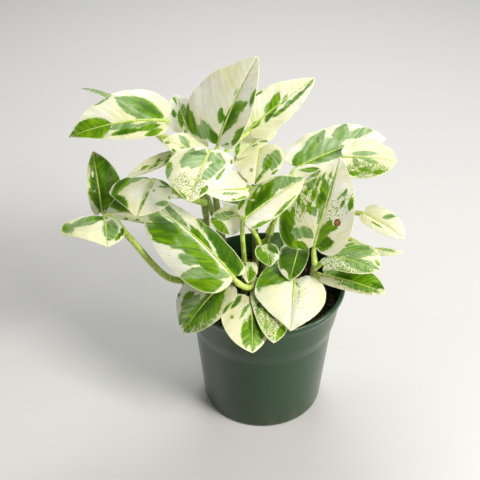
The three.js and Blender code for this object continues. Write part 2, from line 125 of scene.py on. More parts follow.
class Value:
    """What comes out of a node. Arithmetic with it adds Math nodes to its web."""

    def __init__(self, web, socket):
        self.web, self.socket = web, socket

    def __add__(self, other):
        return self.web.math("ADD", self, other)

    def __mul__(self, other):
        return self.web.math("MULTIPLY", self, other)

    def __sub__(self, other):
        return self.web.math("SUBTRACT", self, other)

    def __rsub__(self, other):
        return self.web.math("SUBTRACT", other, self)

    def __truediv__(self, other):
        return self.web.math("DIVIDE", self, other)

    def __rtruediv__(self, other):
        return self.web.math("DIVIDE", other, self)

    __radd__, __rmul__ = __add__, __mul__


print("a Value can be added, subtracted, multiplied and divided")

# %% A web that makes and joins nodes


class Web:
    """Nodes of one tree. A Value given to a socket is linked to it, and anything else is set."""

    def __init__(self, tree):
        self.tree = tree

    def feed(self, socket, value):
        if isinstance(value, Value):
            self.tree.links.new(value.socket, socket)
        else:
            socket.default_value = value

    def dress(self, sockets, values):
        for name, value in values.items():
            self.feed(sockets[name], value)

    def node(self, kind, values=None, **settings):
        node = self.tree.nodes.new(kind)
        for key, value in settings.items():
            setattr(node, key, value)
        self.dress(node.inputs, values or {})
        return node

    def outs(self, node):
        return {socket.name: Value(self, socket) for socket in node.outputs}

    def out(self, kind, values=None, take=0, **settings):
        """A new node's first output, or the one that take names."""
        return Value(self, self.node(kind, values, **settings).outputs[take])

    def math(self, operation, a, b=None):
        parts = {0: a} if b is None else {0: a, 1: b}
        return self.out("ShaderNodeMath", parts, operation=operation)

    def between(self, value, low, high):
        """0 below low, 1 above high, and a smooth step between."""
        parts = {"Value": value, "From Min": low, "From Max": high}
        return self.out("ShaderNodeMapRange", parts, interpolation_type="SMOOTHSTEP")

    def mix(self, share, a, b):
        a, b = (v if isinstance(v, Value) else (*v, 1) for v in (a, b))
        return self.out("ShaderNodeMix", {0: share, 6: a, 7: b}, 2, data_type="RGBA")

    def noise(self, place, scale, detail=2.0, rough=0.5):
        parts = {"Vector": place, "Scale": scale, "Detail": detail, "Roughness": rough}
        return self.out("ShaderNodeTexNoise", parts)

    def split(self, vector, kind="ShaderNodeSeparateXYZ"):
        return self.outs(self.node(kind, {0: vector})).values()

    def join(self, x, y, z):
        return self.out("ShaderNodeCombineXYZ", {0: x, 1: y, 2: z})

    def stored(self, name, take):
        return self.out("ShaderNodeAttribute", None, take, attribute_name=name, attribute_type="GEOMETRY")

    def place(self):
        return self.out("ShaderNodeTexCoord", None, "Object")

    def bump(self, height, depth, strength):
        return self.out("ShaderNodeBump", {"Height": height, "Distance": depth, "Strength": strength})


print("nodes are wired by", Web.__name__, "and", Value.__name__)

# %% Shader groups and materials


def shader_group(name, inputs, outputs):
    """A shader node group whose sockets are all numbers. Returns its web, inputs and outputs."""
    group = bpy.data.node_groups.new(name, "ShaderNodeTree")
    for side, labels in (("INPUT", inputs), ("OUTPUT", outputs)):
        for label in labels:
            group.interface.new_socket(name=label, in_out=side, socket_type="NodeSocketFloat")
    web = Web(group)
    return web, web.outs(web.node("NodeGroupInput")), web.node("NodeGroupOutput").inputs


def use_group(web, name, **values):
    """Places a group in a material. Values are named with _ where the socket has a space."""
    node = web.node("ShaderNodeGroup", node_tree=bpy.data.node_groups[name])
    web.dress(node.inputs, {key.replace("_", " "): value for key, value in values.items()})
    return web.outs(node)


def new_material(name, viewport):
    """A material, its web and its Principled sockets. viewport is its colour in the workshop view."""
    material = bpy.data.materials.new(name)
    material.use_nodes = True
    material.diffuse_color = (*viewport, 1)
    web = Web(material.node_tree)
    return material, web, material.node_tree.nodes["Principled BSDF"].inputs


print("helpers for groups and materials ready")

# %% Floor
FLOOR_HALF = 6.0

floor_material, web, skin = new_material("pale_floor", (0.85, 0.84, 0.82))
web.dress(skin, {"Base Color": (0.66, 0.645, 0.625, 1), "Roughness": 0.75})
mesh = bpy.data.meshes.new("floor")
corners = [(x * FLOOR_HALF, y * FLOOR_HALF, 0) for x, y in ((-1, -1), (1, -1), (1, 1), (-1, 1))]
mesh.from_pydata(corners, [], [(0, 1, 2, 3)])
mesh.materials.append(floor_material)
floor = bpy.data.objects.new("floor", mesh)
scene.collection.objects.link(floor)
print("floor laid,", 2 * FLOOR_HALF, "m square")

# %% [markdown]
# ## Geometry tools
# Four small Geometry Nodes trees do the work that follows a rule: one sweeps a round stem along
# a path, one gives a flat blade its waves and its puckers between the veins, one strews pieces
# over a surface, and one drills a ring of holes. Each has named inputs, and each result is turned
# into a plain mesh before it becomes a piece of the plant.

# %% Making a geometry tree
SOCKETS = {int: "NodeSocketInt", float: "NodeSocketFloat", type(None): "NodeSocketObject"}


def geometry_tree(name, inputs):
    """A tree that takes Geometry, the named inputs with their defaults, and a Finish."""
    tree = bpy.data.node_groups.new(name, "GeometryNodeTree")

    def add(label, side, kind):
        return tree.interface.new_socket(name=label, in_out=side, socket_type=kind)

    add("Geometry", "INPUT", "NodeSocketGeometry")
    for label, value in inputs.items():
        socket = add(label, "INPUT", SOCKETS[type(value)])
        if value is not None:
            socket.default_value = value
    add("Finish", "INPUT", "NodeSocketMaterial")
    add("Geometry", "OUTPUT", "NodeSocketGeometry")
    web = Web(tree)
    return web, web.outs(web.node("NodeGroupInput"))


def end_tree(web, source, shape):
    """Real geometry with the finish on it leaves the tree."""
    real = web.out("GeometryNodeRealizeInstances", {0: shape})
    finished = web.out("GeometryNodeSetMaterial", {"Geometry": real, "Material": source["Finish"]})
    web.node("NodeGroupOutput", {"Geometry": finished})
    print("tree:", web.tree.name)


def named(web, name, kind="FLOAT"):
    return web.out("GeometryNodeInputNamedAttribute", {"Name": name}, data_type=kind)


# %% Using a geometry tree


def with_tree(piece, tree_name, **values):
    """Adds a tree to a piece as a modifier and sets its inputs by their identifiers."""
    tree = bpy.data.node_groups[tree_name]
    modifier = piece.modifiers.new(tree_name, "NODES")
    modifier.node_group = tree
    names = {item.name: item.identifier for item in tree.interface.items_tree if item.in_out == "INPUT"}
    for key, value in values.items():
        modifier[names[key.replace("_", " ")]] = value


def settle(piece):
    """Turns a piece and its modifiers into a plain mesh."""
    depsgraph = bpy.context.evaluated_depsgraph_get()
    plain = bpy.data.meshes.new_from_object(piece.evaluated_get(depsgraph), depsgraph=depsgraph)
    piece.modifiers.clear()
    piece.data = plain
    return piece


def new_piece(name, mesh):
    piece = bpy.data.objects.new(name, mesh)
    scene.collection.objects.link(piece)
    return piece


def mesh_in_mm(name, points, edges, faces):
    mesh = bpy.data.meshes.new(name)
    mesh.from_pydata([tuple(c * MM for c in p) for p in points], edges, faces)
    return mesh


print("geometry helpers ready")

# %% A tree that sweeps a stem along a path
web, source = geometry_tree("stem_along_path", {"Sides": 14})
path = web.out("GeometryNodeMeshToCurve", {"Mesh": source["Geometry"]})
ring = web.out("GeometryNodeCurvePrimitiveCircle", {"Resolution": source["Sides"], "Radius": 1.0})
sweep = {"Curve": path, "Profile Curve": ring, "Scale": named(web, "thickness"), "Fill Caps": True}
swept = web.out("GeometryNodeCurveToMesh", sweep)
end_tree(web, source, web.out("GeometryNodeSetShadeSmooth", {0: swept}))

# %% A tree that gives a blade its relief
# flat_place holds where a point lies on the flat blade in mm, and which blade it is. vein_place
# holds its place counted in side veins. reach is 0 at the midrib and 1 at the edge.
web, source = geometry_tree("blade_relief", {
    "Pucker": 0.0003, "Wave": 0.0008, "Wave Length": 22.0, "Edge Ripple": 0.0004, "Groove": 0.0005,
})
reach = named(web, "reach")
flat = named(web, "flat_place", "FLOAT_VECTOR")
vein, _, seed = web.split(named(web, "vein_place", "FLOAT_VECTOR"))
inner = web.between(reach, 0.04, 0.3)
outer = 1.0 - web.between(reach, 0.8, 1.0)
pillow = web.math("COSINE", vein * (2 * math.pi)) * inner * (outer * -1.0)
swell = (web.noise(flat, 1.0 / source["Wave Length"], 1.5) - 0.5) * (reach * 2.0)
ripple = web.math("SINE", vein * math.pi + seed) * web.math("POWER", reach, 3.0)
groove = web.between(reach, 0.0, 0.13) - 1.0
height = pillow * source["Pucker"] + swell * source["Wave"] + groove * source["Groove"]
height = height + ripple * source["Edge Ripple"]
normal = web.out("GeometryNodeInputNormal")
offset = web.out("ShaderNodeVectorMath", {0: normal, "Scale": height}, operation="SCALE")
moved = web.out("GeometryNodeSetPosition", {"Geometry": source["Geometry"], "Offset": offset})
end_tree(web, source, moved)

# %% A tree that strews pieces over a surface
MOST_POINTS = 400000.0

web, source = geometry_tree("strew_over_surface", {
    "Shape": None, "Apart": 0.002, "Smallest": 0.5, "Largest": 1.0, "Lean": 0.5, "Seed": 1,
})
ground, seed, lean = source["Geometry"], source["Seed"], source["Lean"]
spread = {"Mesh": ground, "Distance Min": source["Apart"], "Density Max": MOST_POINTS, "Seed": seed}
points = web.out("GeometryNodeDistributePointsOnFaces", spread, "Points", distribute_method="POISSON")
shape = web.out("GeometryNodeObjectInfo", {"Object": source["Shape"]}, "Geometry")
turns = {0: web.join(lean * -1.0, lean * -1.0, 0.0), 1: web.join(lean, lean, 2 * math.pi), 8: seed}
turn = web.out("FunctionNodeRandomValue", turns, data_type="FLOAT_VECTOR")
turn = web.out("FunctionNodeEulerToRotation", {0: turn})
sizes = {2: source["Smallest"], 3: source["Largest"], 8: seed}
size = web.out("FunctionNodeRandomValue", sizes, 1, data_type="FLOAT")
strewn = {"Points": points, "Instance": shape, "Rotation": turn, "Scale": size}
end_tree(web, source, web.out("GeometryNodeInstanceOnPoints", strewn))

# %% A tree that drills a ring of holes
web, source = geometry_tree("ring_of_holes", {
    "Holes": 6, "Circle": 0.02, "Hole Radius": 0.003, "Depth": 0.01,
})
ring = web.out("GeometryNodeMeshCircle", {"Vertices": source["Holes"], "Radius": source["Circle"]})
drill = {"Vertices": 32, "Radius": source["Hole Radius"], "Depth": source["Depth"]}
drills = {"Points": ring, "Instance": web.out("GeometryNodeMeshCylinder", drill)}
drills = web.out("GeometryNodeRealizeInstances", {0: web.out("GeometryNodeInstanceOnPoints", drills)})
bored = {"Mesh 1": source["Geometry"], "Mesh 2": drills}
end_tree(web, source, web.out("GeometryNodeMeshBoolean", bored, operation="DIFFERENCE"))

# %% [markdown]
# ## Where the plant grows
# The two tables repeat the measured model's own plan. A vine is a short rooted stem: its root on
# the potting mix, the points that it grows through and its radius. A leaf is given by its vine, its
# petiole's place on it from 0 to 1, its blade's base and tip, and the half widths to the left and
# right of the midrib. via lists points that the petiole passes, and stalk is its radius where it
# isn't the usual one. lobe says how far each side reaches back past the base, and full how broad it
# stays towards the tip. roll raises the left side, fold lifts each side, a negative curl turns its
# edge down, and arch bends the blade from base to tip, all in degrees. Two values are left and
# right.

# %% Plan of the vines
VINES = {
    "front": dict(root=(-4, -7), path=[(-4, -9, 98), (-5, -13, 108)], radius=2.8),
    "right": dict(root=(31, -9), path=[(31, -10, 98), (33, -13, 123)], radius=2.6),
    "middle": dict(root=(-13, 0), path=[(-13, 0, 98), (-13, -1, 112)], radius=2.2),
    "tall": dict(root=(-24, 12), path=[(-26, 15, 104), (-32, 12, 154), (-34, 9, 186)], radius=2.6),
    "back": dict(root=(-6, 24), path=[(-6, 25, 100), (-7, 29, 140), (-7, 31, 176)], radius=2.4),
    "left": dict(root=(-35, 2), path=[(-36, 5, 102), (-38, 11, 130), (-39, 12, 152)], radius=2.4),
    "back_left": dict(root=(-26, 28), path=[(-28, 30, 102), (-42, 34, 150), (-54, 34, 180)], radius=2.4),
    "back_right": dict(root=(0, 8), path=[(0, 9, 98), (1, 10, 118), (3, 12, 128)], radius=2.4),
    "far_right": dict(root=(24, 20), path=[(25, 22, 102), (31, 29, 126), (36, 34, 140)], radius=2.4),
}
print("vines:", len(VINES))

# %% Leaves of the vines in front and to the right


def leaf(vine, at, base, tip, half, **form):
    return dict(vine=vine, at=at, base=base, tip=tip, half=half, **form)


LEAVES = {
    "front_big": leaf("front", 0.97, (-19, -35, 128), (-79, 22, 146), (29, 12.5), via=[(-9, -24, 110)],
        lobe=(0.35, 0.2), full=(0.7, 0.9), roll=5, fold=(8, 20), curl=(-50, -20), arch=25, stalk=1.9),
    "front_centre": leaf("front", 0.8, (-8, -30, 106), (-6, -68, 93), (13, 20), full=0.9, fold=(-12, 12),
        curl=(-10, -15), arch=50),
    "front_speckled": leaf("front", 0.9, (-1, -24, 107), (7, -65, 99), (15, 9), full=1, fold=(-5, 8),
        curl=(-15, -10), arch=38),
    "front_left_low": leaf("front", 0.68, (-24, -30, 120), (-51, -48, 91), (17, 29), lobe=(0.2, 0.6),
        full=0.8, fold=(5, 10), curl=-30, arch=30),
    "front_heart": leaf("right", 0.75, (20, -18, 111), (17, -60, 105), (21, 25), lobe=(0.9, 2.8),
        full=(0.5, 0), fold=(8, 10), curl=(-20, -15)),
    "right_main": leaf("right", 0.98, (32, -10, 134), (48, 25, 180), (28, 22), lobe=(0.6, 0.4), full=(0, 0.4),
        fold=12, curl=(-20, -15), arch=15),
    "right_mid": leaf("right", 0.93, (44, -14, 129), (72, -32, 132), (21, 11), lobe=(0.6, 1.2), full=0.9,
        fold=(10, 0), curl=(-20, -30)),
    "right_low": leaf("right", 0.86, (40, -16, 115), (78, -30, 112), (14, 7), full=0.9, roll=12,
        fold=(5, -18), curl=(-10, -30)),
    "thin_right": leaf("far_right", 0.86, (72, 2, 124), (91, -2, 125), (7, 6), full=0.9, fold=(-36, -10),
        curl=(0, -10), arch=20),
}
print("leaves so far:", len(LEAVES))

# %% Leaves of the tall, back and left vines
LEAVES |= {
    "top_centre": leaf("tall", 0.99, (-31, 16, 193), (-6, 46, 240), (33, 17), lobe=(0.1, 0), full=(0.25, 0.5),
        fold=12, curl=(-25, -15)),
    "centre_speckled": leaf("tall", 0.93, (-35, 3, 196), (-45, -42, 188), (18, 24), via=[(-36, 3, 185)],
        lobe=(0.5, 0.4), curl=(-30, -35), arch=30),
    "upper_mid_left": leaf("tall", 0.82, (-41, 15, 187), (-66, 21, 192), (8, 14), via=[(-37, 15, 177)],
        lobe=(0.3, 0.6), full=0.7, roll=-15, fold=5),
    "top_right": leaf("tall", 0.88, (-9, 27, 200), (31, 56, 220), (16, 14), via=[(-24, 17, 189)],
        full=(0.35, 0.5), roll=10, fold=(15, 5), curl=(-15, -10), arch=15),
    "below_top_right": leaf("back", 0.99, (1, 36, 192), (-18, 12, 185), (8, 14), via=[(-5, 40, 183)],
        full=0.6, curl=(-20, -30), arch=25),
    "centre_white": leaf("back", 0.93, (-3, 26, 186), (-7, 2, 172), (16, 16), via=[(1, 32, 177)], full=0.7,
        arch=30),
    "centre_pale": leaf("back", 0.8, (-13, 1, 170), (-39, -6, 172), (8, 13), via=[(-14, 18, 161)], full=0.4,
        roll=-20, fold=(-20, 20), curl=(-10, -15), arch=10),
    "left_white": leaf("left", 0.99, (-72, 8, 171), (-80, -22, 163), (17, 28), via=[(-49, 6, 158)],
        full=(0.7, 0.1), roll=-6, fold=0, curl=-40, arch=40),
    "left_fold": leaf("left", 0.85, (-78, 22, 134), (-106, 20, 136), (7, 17), via=[(-58, 18, 134)], full=0.7,
        roll=-10, fold=(0, 25)),
    "left_upright": leaf("left", 0.76, (-111, 32, 131), (-117, 53, 164), (8, 16), via=[(-72, 28, 122)],
        full=0.6),
    "far_left_low": leaf("left", 0.48, (-104, 1, 146), (-98, -30, 145), (14, 30),
        via=[(-61, -16, 110), (-86, -9, 136), (-101, 5, 144)], full=(0.5, 0.1), roll=-10, fold=(0, 5),
        curl=-40, arch=25, stalk=2),
    "rolled": leaf("left", 0.9, (-60, 25, 178), (-91, 17, 166), (7, 6), via=[(-45, 22, 160)], fold=(0, 20),
        curl=10, arch=10),
}
print("leaves so far:", len(LEAVES))

# %% Leaves behind and inside
LEAVES |= {
    "top_left": leaf("back_left", 0.97, (-65, 24, 206), (-124, 12, 199), (12, 26),
        via=[(-63, 34, 186), (-68, 25, 195)], lobe=(0.4, 0.7), full=0.2, roll=-20, fold=(-45, 10),
        curl=(-10, -20), arch=40),
    "far_back_left": leaf("back_left", 0.88, (-99, 62, 199), (-125, 76, 200), (9, 9), roll=28, fold=0, curl=0,
        arch=10),
    "back_bit": leaf("back_left", 0.93, (-53, 48, 186), (-61, 70, 199), (11, 11), fold=5, curl=-10, arch=10),
    "back_low_left": leaf("back_left", 0.6, (-46, 52, 134), (-74, 68, 122), (14, 14), arch=35),
    "back_top": leaf("back", 0.87, (-18, 50, 182), (-30, 82, 186), (16, 17), via=[(-12, 42, 172)], full=0.7,
        arch=30),
    "back_middle": leaf("back", 0.73, (-3, 51, 156), (-2, 82, 147), (17, 15), arch=35),
    "back_low": leaf("back", 0.56, (-12, 44, 126), (-17, 82, 114), (17, 18), full=0.6, arch=40),
    "back_low_right": leaf("far_right", 0.77, (36, 48, 122), (56, 72, 122), (15, 14), arch=35),
    "centre_right": leaf("middle", 0.99, (-12, -8, 154), (25, 15, 170), (15, 12), lobe=(0.3, 0.5), full=0.8,
        roll=15, fold=(10, -10), curl=-30),
    "behind_big": leaf("back_right", 0.74, (-18, 5, 146), (-36, 2, 143), (12, 8), via=[(-6, 9, 128)],
        full=0.6, roll=-35),
    "inner_cream": leaf("middle", 0.79, (-10, -9, 118), (-10, -24, 113), (6, 5)),
    "back_right": leaf("back_right", 0.99, (22, 52, 155), (82, 71, 167), (29, 14.5), via=[(7, 16, 137)],
        full=1, fold=(10, 5), arch=25, stalk=1.8),
    "inner_speckled": leaf("back_right", 0.87, (1, -2, 127), (4, -16, 121), (8, 8)),
    "right_round": leaf("far_right", 0.99, (52, 44, 168), (86, 36, 170), (17, 16), full=1, roll=20, fold=0),
    "right_small": leaf("far_right", 0.93, (66, 14, 143), (90, -6, 138), (11, 7), full=0.9, roll=20),
    "inner_dark": leaf("far_right", 0.7, (23, 4, 123), (17, -20, 113), (8, 12), full=0.9),
    "inner_deep": leaf("back", 0.47, (12, 26, 117), (14, 4, 113), (9, 10)),
}
print("leaves in all:", len(LEAVES))

# %% [markdown]
# ## Where each blade is green
# A blade is cream wherever its cells lost their green. The green that is left lies in sectors that
# run out along the side veins, in three kinds: full green, grey-green where a pale layer lies over
# a green one, and fine flecks. A picture of the blade could carry them, but strokes stay sharp at
# any size. Each sector is one stroke on the flat blade: from and to, in percent along the midrib (0
# base, 100 tip) and across (100 left edge, -100 right edge), and its half width in the middle in
# mm. bare strokes keep a place pale, dark ones deepen the green, partly where the green is darker
# and partly as painted shade where a blade lies in shade, and a fleck stroke ends with how thickly
# it is flecked.

# %% Strokes of the largest blades
MARKS = {
    "front_big": dict(
        green=[(2, 50, 7, 85, 4.6), (8, 80, 18, 97, 2.6), (12, 30, 26, 30, 4.4), (30, 34, 44, 30, 4.6),
            (52, 32, 78, 27, 5.6), (52, 55, 66, 62, 4.4), (2, -20, 10, -80, 4), (6, -42, 30, -76, 5.2),
            (20, -66, 52, -96, 4.2), (27, -3, 52, -26, 1.6), (40, 5, 50, -10, 1), (62, 96, 70, 80, 1.2)],
        grey=[(5, 20, 12, 45, 4.4), (14, 55, 20, 90, 4.6), (26, 55, 34, 62, 3.2), (14, 18, 50, 20, 3.6),
            (45, 45, 52, 50, 4.6), (56, -12, 86, -34, 2), (78, 36, 84, 20, 3.6), (88, 10, 94, 0, 3.2),
            (12, 34, 80, 30, 5.6), (50, 55, 72, 56, 4.6)],
        bare=[(36, 80, 50, 92, 3), (2, 5, 60, 5, 1.2), (60, 10, 78, 16, 1.1)],
        dark=[(4, -40, 40, -80, 5), (58, 30, 72, 30, 4)],
    ),
    "right_main": dict(
        green=[(-4, 55, 4, 88, 4.4), (10, 72, 22, 82, 4.2), (-4, 22, -2, 40, 2.2), (3, -18, 7, -40, 3.4),
            (15, -16, 26, -28, 2.8), (22, -34, 25, -50, 1.6), (33, 28, 42, 38, 1.3), (48, 33, 57, 31, 1.3),
            (44, 14, 56, 10, 2.7), (58, 18, 70, 17, 0.9), (46, -50, 56, -53, 0.7), (60, -48, 66, -50, 0.8),
            (48, -78, 58, -74, 1.4), (50, 52, 60, 46, 0.9), (26, 66, 34, 72, 1), (30, 44, 42, 52, 0.7),
            (60, 32, 72, 30, 0.7), (56, 6, 66, 8, 0.9), (36, 60, 50, 66, 0.6), (54, -34, 62, -42, 0.5),
            (70, 24, 78, 22, 0.5)],
        grey=[(4, 60, 10, 35, 3.6), (10, 15, 14, 30, 2.6), (26, 6, 60, 4, 1.6), (33, 18, 38, 24, 1.8),
            (30, -2, 86, -1, 1), (56, 50, 68, 40, 2), (8, -10, 22, -14, 2), (66, 10, 84, 8, 0.7),
            (70, 52, 78, 36, 1.2)],
        fleck=[(24, 60, 66, 44, 7, 0.8), (36, -30, 60, -70, 7, 0.6)],
        dark=[(-2, 60, 14, 78, 3.5), (4, -25, 8, -42, 2.4), (48, 13, 54, 12, 2)],
    ),
    "top_centre": dict(
        green=[(4, 60, 18, 93, 3.4), (2, 4, 9, 20, 2.4), (22, 10, 35, 19, 1.6), (20, -12, 42, -25, 4),
            (38, -32, 49, -52, 2.2), (10, -76, 24, -90, 2.4), (50, -80, 66, -72, 1.2), (20, 92, 25, 98, 1.2)],
        grey=[(3, 12, 14, 44, 3.2), (2, 35, 8, 60, 2.6), (43, -14, 48, -40, 2.6), (50, 7, 64, 6, 0.7),
            (2, -30, 6, -55, 0.9)],
        dark=[(3, 4, 9, 18, 2), (26, -15, 36, -20, 2.6)],
    ),
    "top_left": dict(
        green=[(6, 32, 24, 52, 1.7), (24, 52, 56, 56, 1.5), (66, 2, 84, 2, 6.6), (60, 20, 72, 40, 2.4),
            (88, 0, 95, 0, 2.6), (5, -12, 24, -60, 4), (20, -50, 36, -70, 3), (3, 60, 16, 80, 1.8)],
        grey=[(10, 18, 56, 26, 2.2), (18, -12, 38, -62, 5.4), (48, -93, 66, -66, 1.5), (30, 5, 56, 12, 0.9)],
        bare=[(18, 12, 34, 16, 0.7)],
        dark=[(8, -20, 20, -50, 2.4), (30, 54, 50, 58, 1.2)],
    ),
    "back_right": dict(
        green=[(0, 12, 8, 34, 3.4), (14, 14, 34, 66, 2.6), (33, -4, 48, -24, 3), (48, -45, 51, -90, 2),
            (56, -40, 61, -76, 1.8), (2, -40, 16, -85, 1.8), (52, 30, 62, 66, 2.2), (10, -6, 26, -24, 2.2)],
        grey=[(10, 12, 38, 76, 5.6), (26, 14, 46, 45, 4.4), (48, 22, 64, 72, 5), (64, 30, 88, 42, 4.2),
            (14, -16, 46, -50, 3.8), (50, 4, 74, 2, 1.6), (6, 4, 50, 12, 3.6), (50, -30, 62, -30, 1.8)],
        bare=[(44, 66, 47, 45, 1.2), (52, 11, 96, 7, 0.7)],
        dark=[(34, 40, 36, 66, 2.2), (40, -6, 50, -30, 2.4)],
    ),
}
print("blades so far:", len(MARKS))

# %% Strokes of the blades in the middle and of the heart over the rim
MARKS |= {
    "top_right": dict(
        green=[(20, -24, 42, 22, 2.7), (36, 10, 49, 34, 2.2), (25, -38, 50, -45, 1.2),
            (48, -44, 80, -26, 1.3), (80, -24, 96, -4, 0.9), (0, -6, 8, -8, 1.7), (30, 95, 40, 97, 0.9)],
        grey=[(24, -6, 34, 22, 2.4), (46, -10, 58, 10, 1.2), (46, -36, 54, -28, 1.4)],
        dark=[(20, -28, 26, -20, 1.8), (60, -38, 90, -14, 1)],
    ),
    "centre_speckled": dict(
        green=[(10, -12, 13, -38, 2.2), (20, 46, 28, 50, 1.6), (32, 34, 36, 30, 1.2), (30, -95, 42, -88, 1.6),
            (74, 42, 84, 32, 1.3), (10, 90, 18, 92, 0.9), (36, 78, 56, 66, 0.8), (88, -28, 96, -10, 0.9)],
        grey=[(10, 40, 34, 55, 3.6), (36, 50, 58, 25, 3), (6, 14, 24, 18, 2.2), (8, -16, 38, -22, 4.2),
            (8, -44, 40, -45, 3.8), (34, -90, 66, -78, 2.4)],
        bare=[(0, 4, 60, 6, 0.6)],
        fleck=[(62, 5, 90, -5, 6, 0.75), (66, -35, 84, -35, 6, 0.8)],
        dark=[(10, -14, 14, -36, 2.4)],
    ),
    "centre_right": dict(
        green=[(6, 6, 40, 74, 3), (22, 12, 58, 58, 3.2), (8, 5, 50, 10, 1.6), (2, 60, 14, 85, 1.6),
            (-3, -66, 24, -95, 1.1), (32, -92, 74, -62, 0.8), (40, 62, 54, 68, 1.2)],
        grey=[(60, 40, 80, 24, 3.8), (52, 22, 60, 30, 2), (82, 14, 95, 4, 1.8), (62, 62, 74, 55, 2)],
        bare=[(20, 55, 24, 40, 0.8), (34, 62, 40, 74, 0.9)],
        dark=[(12, 12, 50, 46, 2.4)],
    ),
    "front_heart": dict(
        green=[(-20, -24, 0, -96, 9), (-10, -60, 10, -100, 7)],
        grey=[(-10, -40, 8, -60, 4), (5, -94, 30, -88, 1.8), (4, 4, 16, 17, 0.8), (18, 18, 46, 16, 0.45)],
        fleck=[(10, 40, 70, 40, 9, 0.3)],
    ),
}
print("blades so far:", len(MARKS))

# %% Strokes of the blades to the left and in front
MARKS |= {
    "left_white": dict(
        green=[(-5, 35, -2, 58, 1.6), (-2, -70, 40, -74, 4.4), (30, -78, 54, -72, 2.6),
            (64, -66, 84, -36, 3.4), (-5, -5, -4, -22, 1), (20, 10, 95, 6, 0.35)],
        grey=[(44, 94, 58, 62, 1.9), (2, -36, 8, -52, 3.6), (16, -50, 30, -57, 1.8), (4, 62, 18, 30, 0.9),
            (24, 90, 28, 88, 0.8), (28, 26, 34, 25, 0.7)],
        dark=[(2, -72, 30, -78, 3), (66, -62, 80, -40, 2.6)],
        fleck=[(55, -10, 75, -10, 4, 0.2)],
    ),
    "far_left_low": dict(
        green=[(4, -2, 14, -34, 2.4), (24, 92, 50, 78, 1.3), (50, 72, 74, 45, 1.1), (16, -88, 34, -85, 1.7),
            (34, 38, 42, 46, 1), (30, 14, 46, 12, 1)],
        grey=[(26, 28, 66, 14, 4.6), (62, 12, 74, 6, 1.4), (6, -16, 24, -50, 4.6), (12, -40, 26, -70, 3.8),
            (14, -84, 44, -76, 3.2)],
        dark=[(24, 92, 70, 60, 1.4), (4, -5, 10, -15, 2)],
    ),
    "front_left_low": dict(
        green=[(12, 95, 34, 94, 1.2), (24, 24, 60, 14, 5.4), (26, 44, 56, 56, 3.4), (40, -4, 92, -9, 1.5),
            (50, -42, 58, -50, 2.4), (64, -76, 67, -78, 1), (56, 34, 80, 16, 2.6), (2, -30, 30, -60, 5),
            (84, 4, 94, 0, 1.2)],
        grey=[(52, -22, 84, -22, 4.6), (80, -30, 88, -22, 2.4), (18, 30, 26, 36, 2.2), (60, -48, 70, -44, 2),
            (36, 60, 50, 66, 1.6)],
        fleck=[(34, 45, 90, 30, 8, 1.3), (20, 60, 40, 66, 3, 0.6)],
        dark=[(26, 18, 58, 10, 4), (2, -30, 30, -60, 4)],
    ),
    "front_centre": dict(
        green=[(40, 8, 82, 2, 3.6), (56, -20, 84, -22, 2.8), (84, 8, 93, 0, 1.6), (12, -4, 44, -36, 0.8),
            (0, -36, 24, -60, 1.7), (42, -63, 45, -64, 0.9), (5, 40, 35, 60, 1.2), (60, 30, 80, 26, 3)],
        dark=[(42, 10, 62, 6, 3), (0, -36, 24, -60, 1.5)],
    ),
    "front_speckled": dict(
        green=[(74, 58, 94, 18, 1.9), (32, -56, 37, -60, 1.2), (42, -70, 50, -70, 0.9),
            (44, -18, 50, -22, 0.8), (10, 40, 40, 50, 2.4)],
        grey=[(68, -30, 78, -38, 1.2), (46, 10, 60, 20, 1.2)],
        fleck=[(10, -40, 90, -30, 8, 1), (30, 20, 80, 20, 6, 0.9)],
        dark=[(32, -56, 37, -60, 1.4)],
    ),
}
print("blades so far:", len(MARKS))

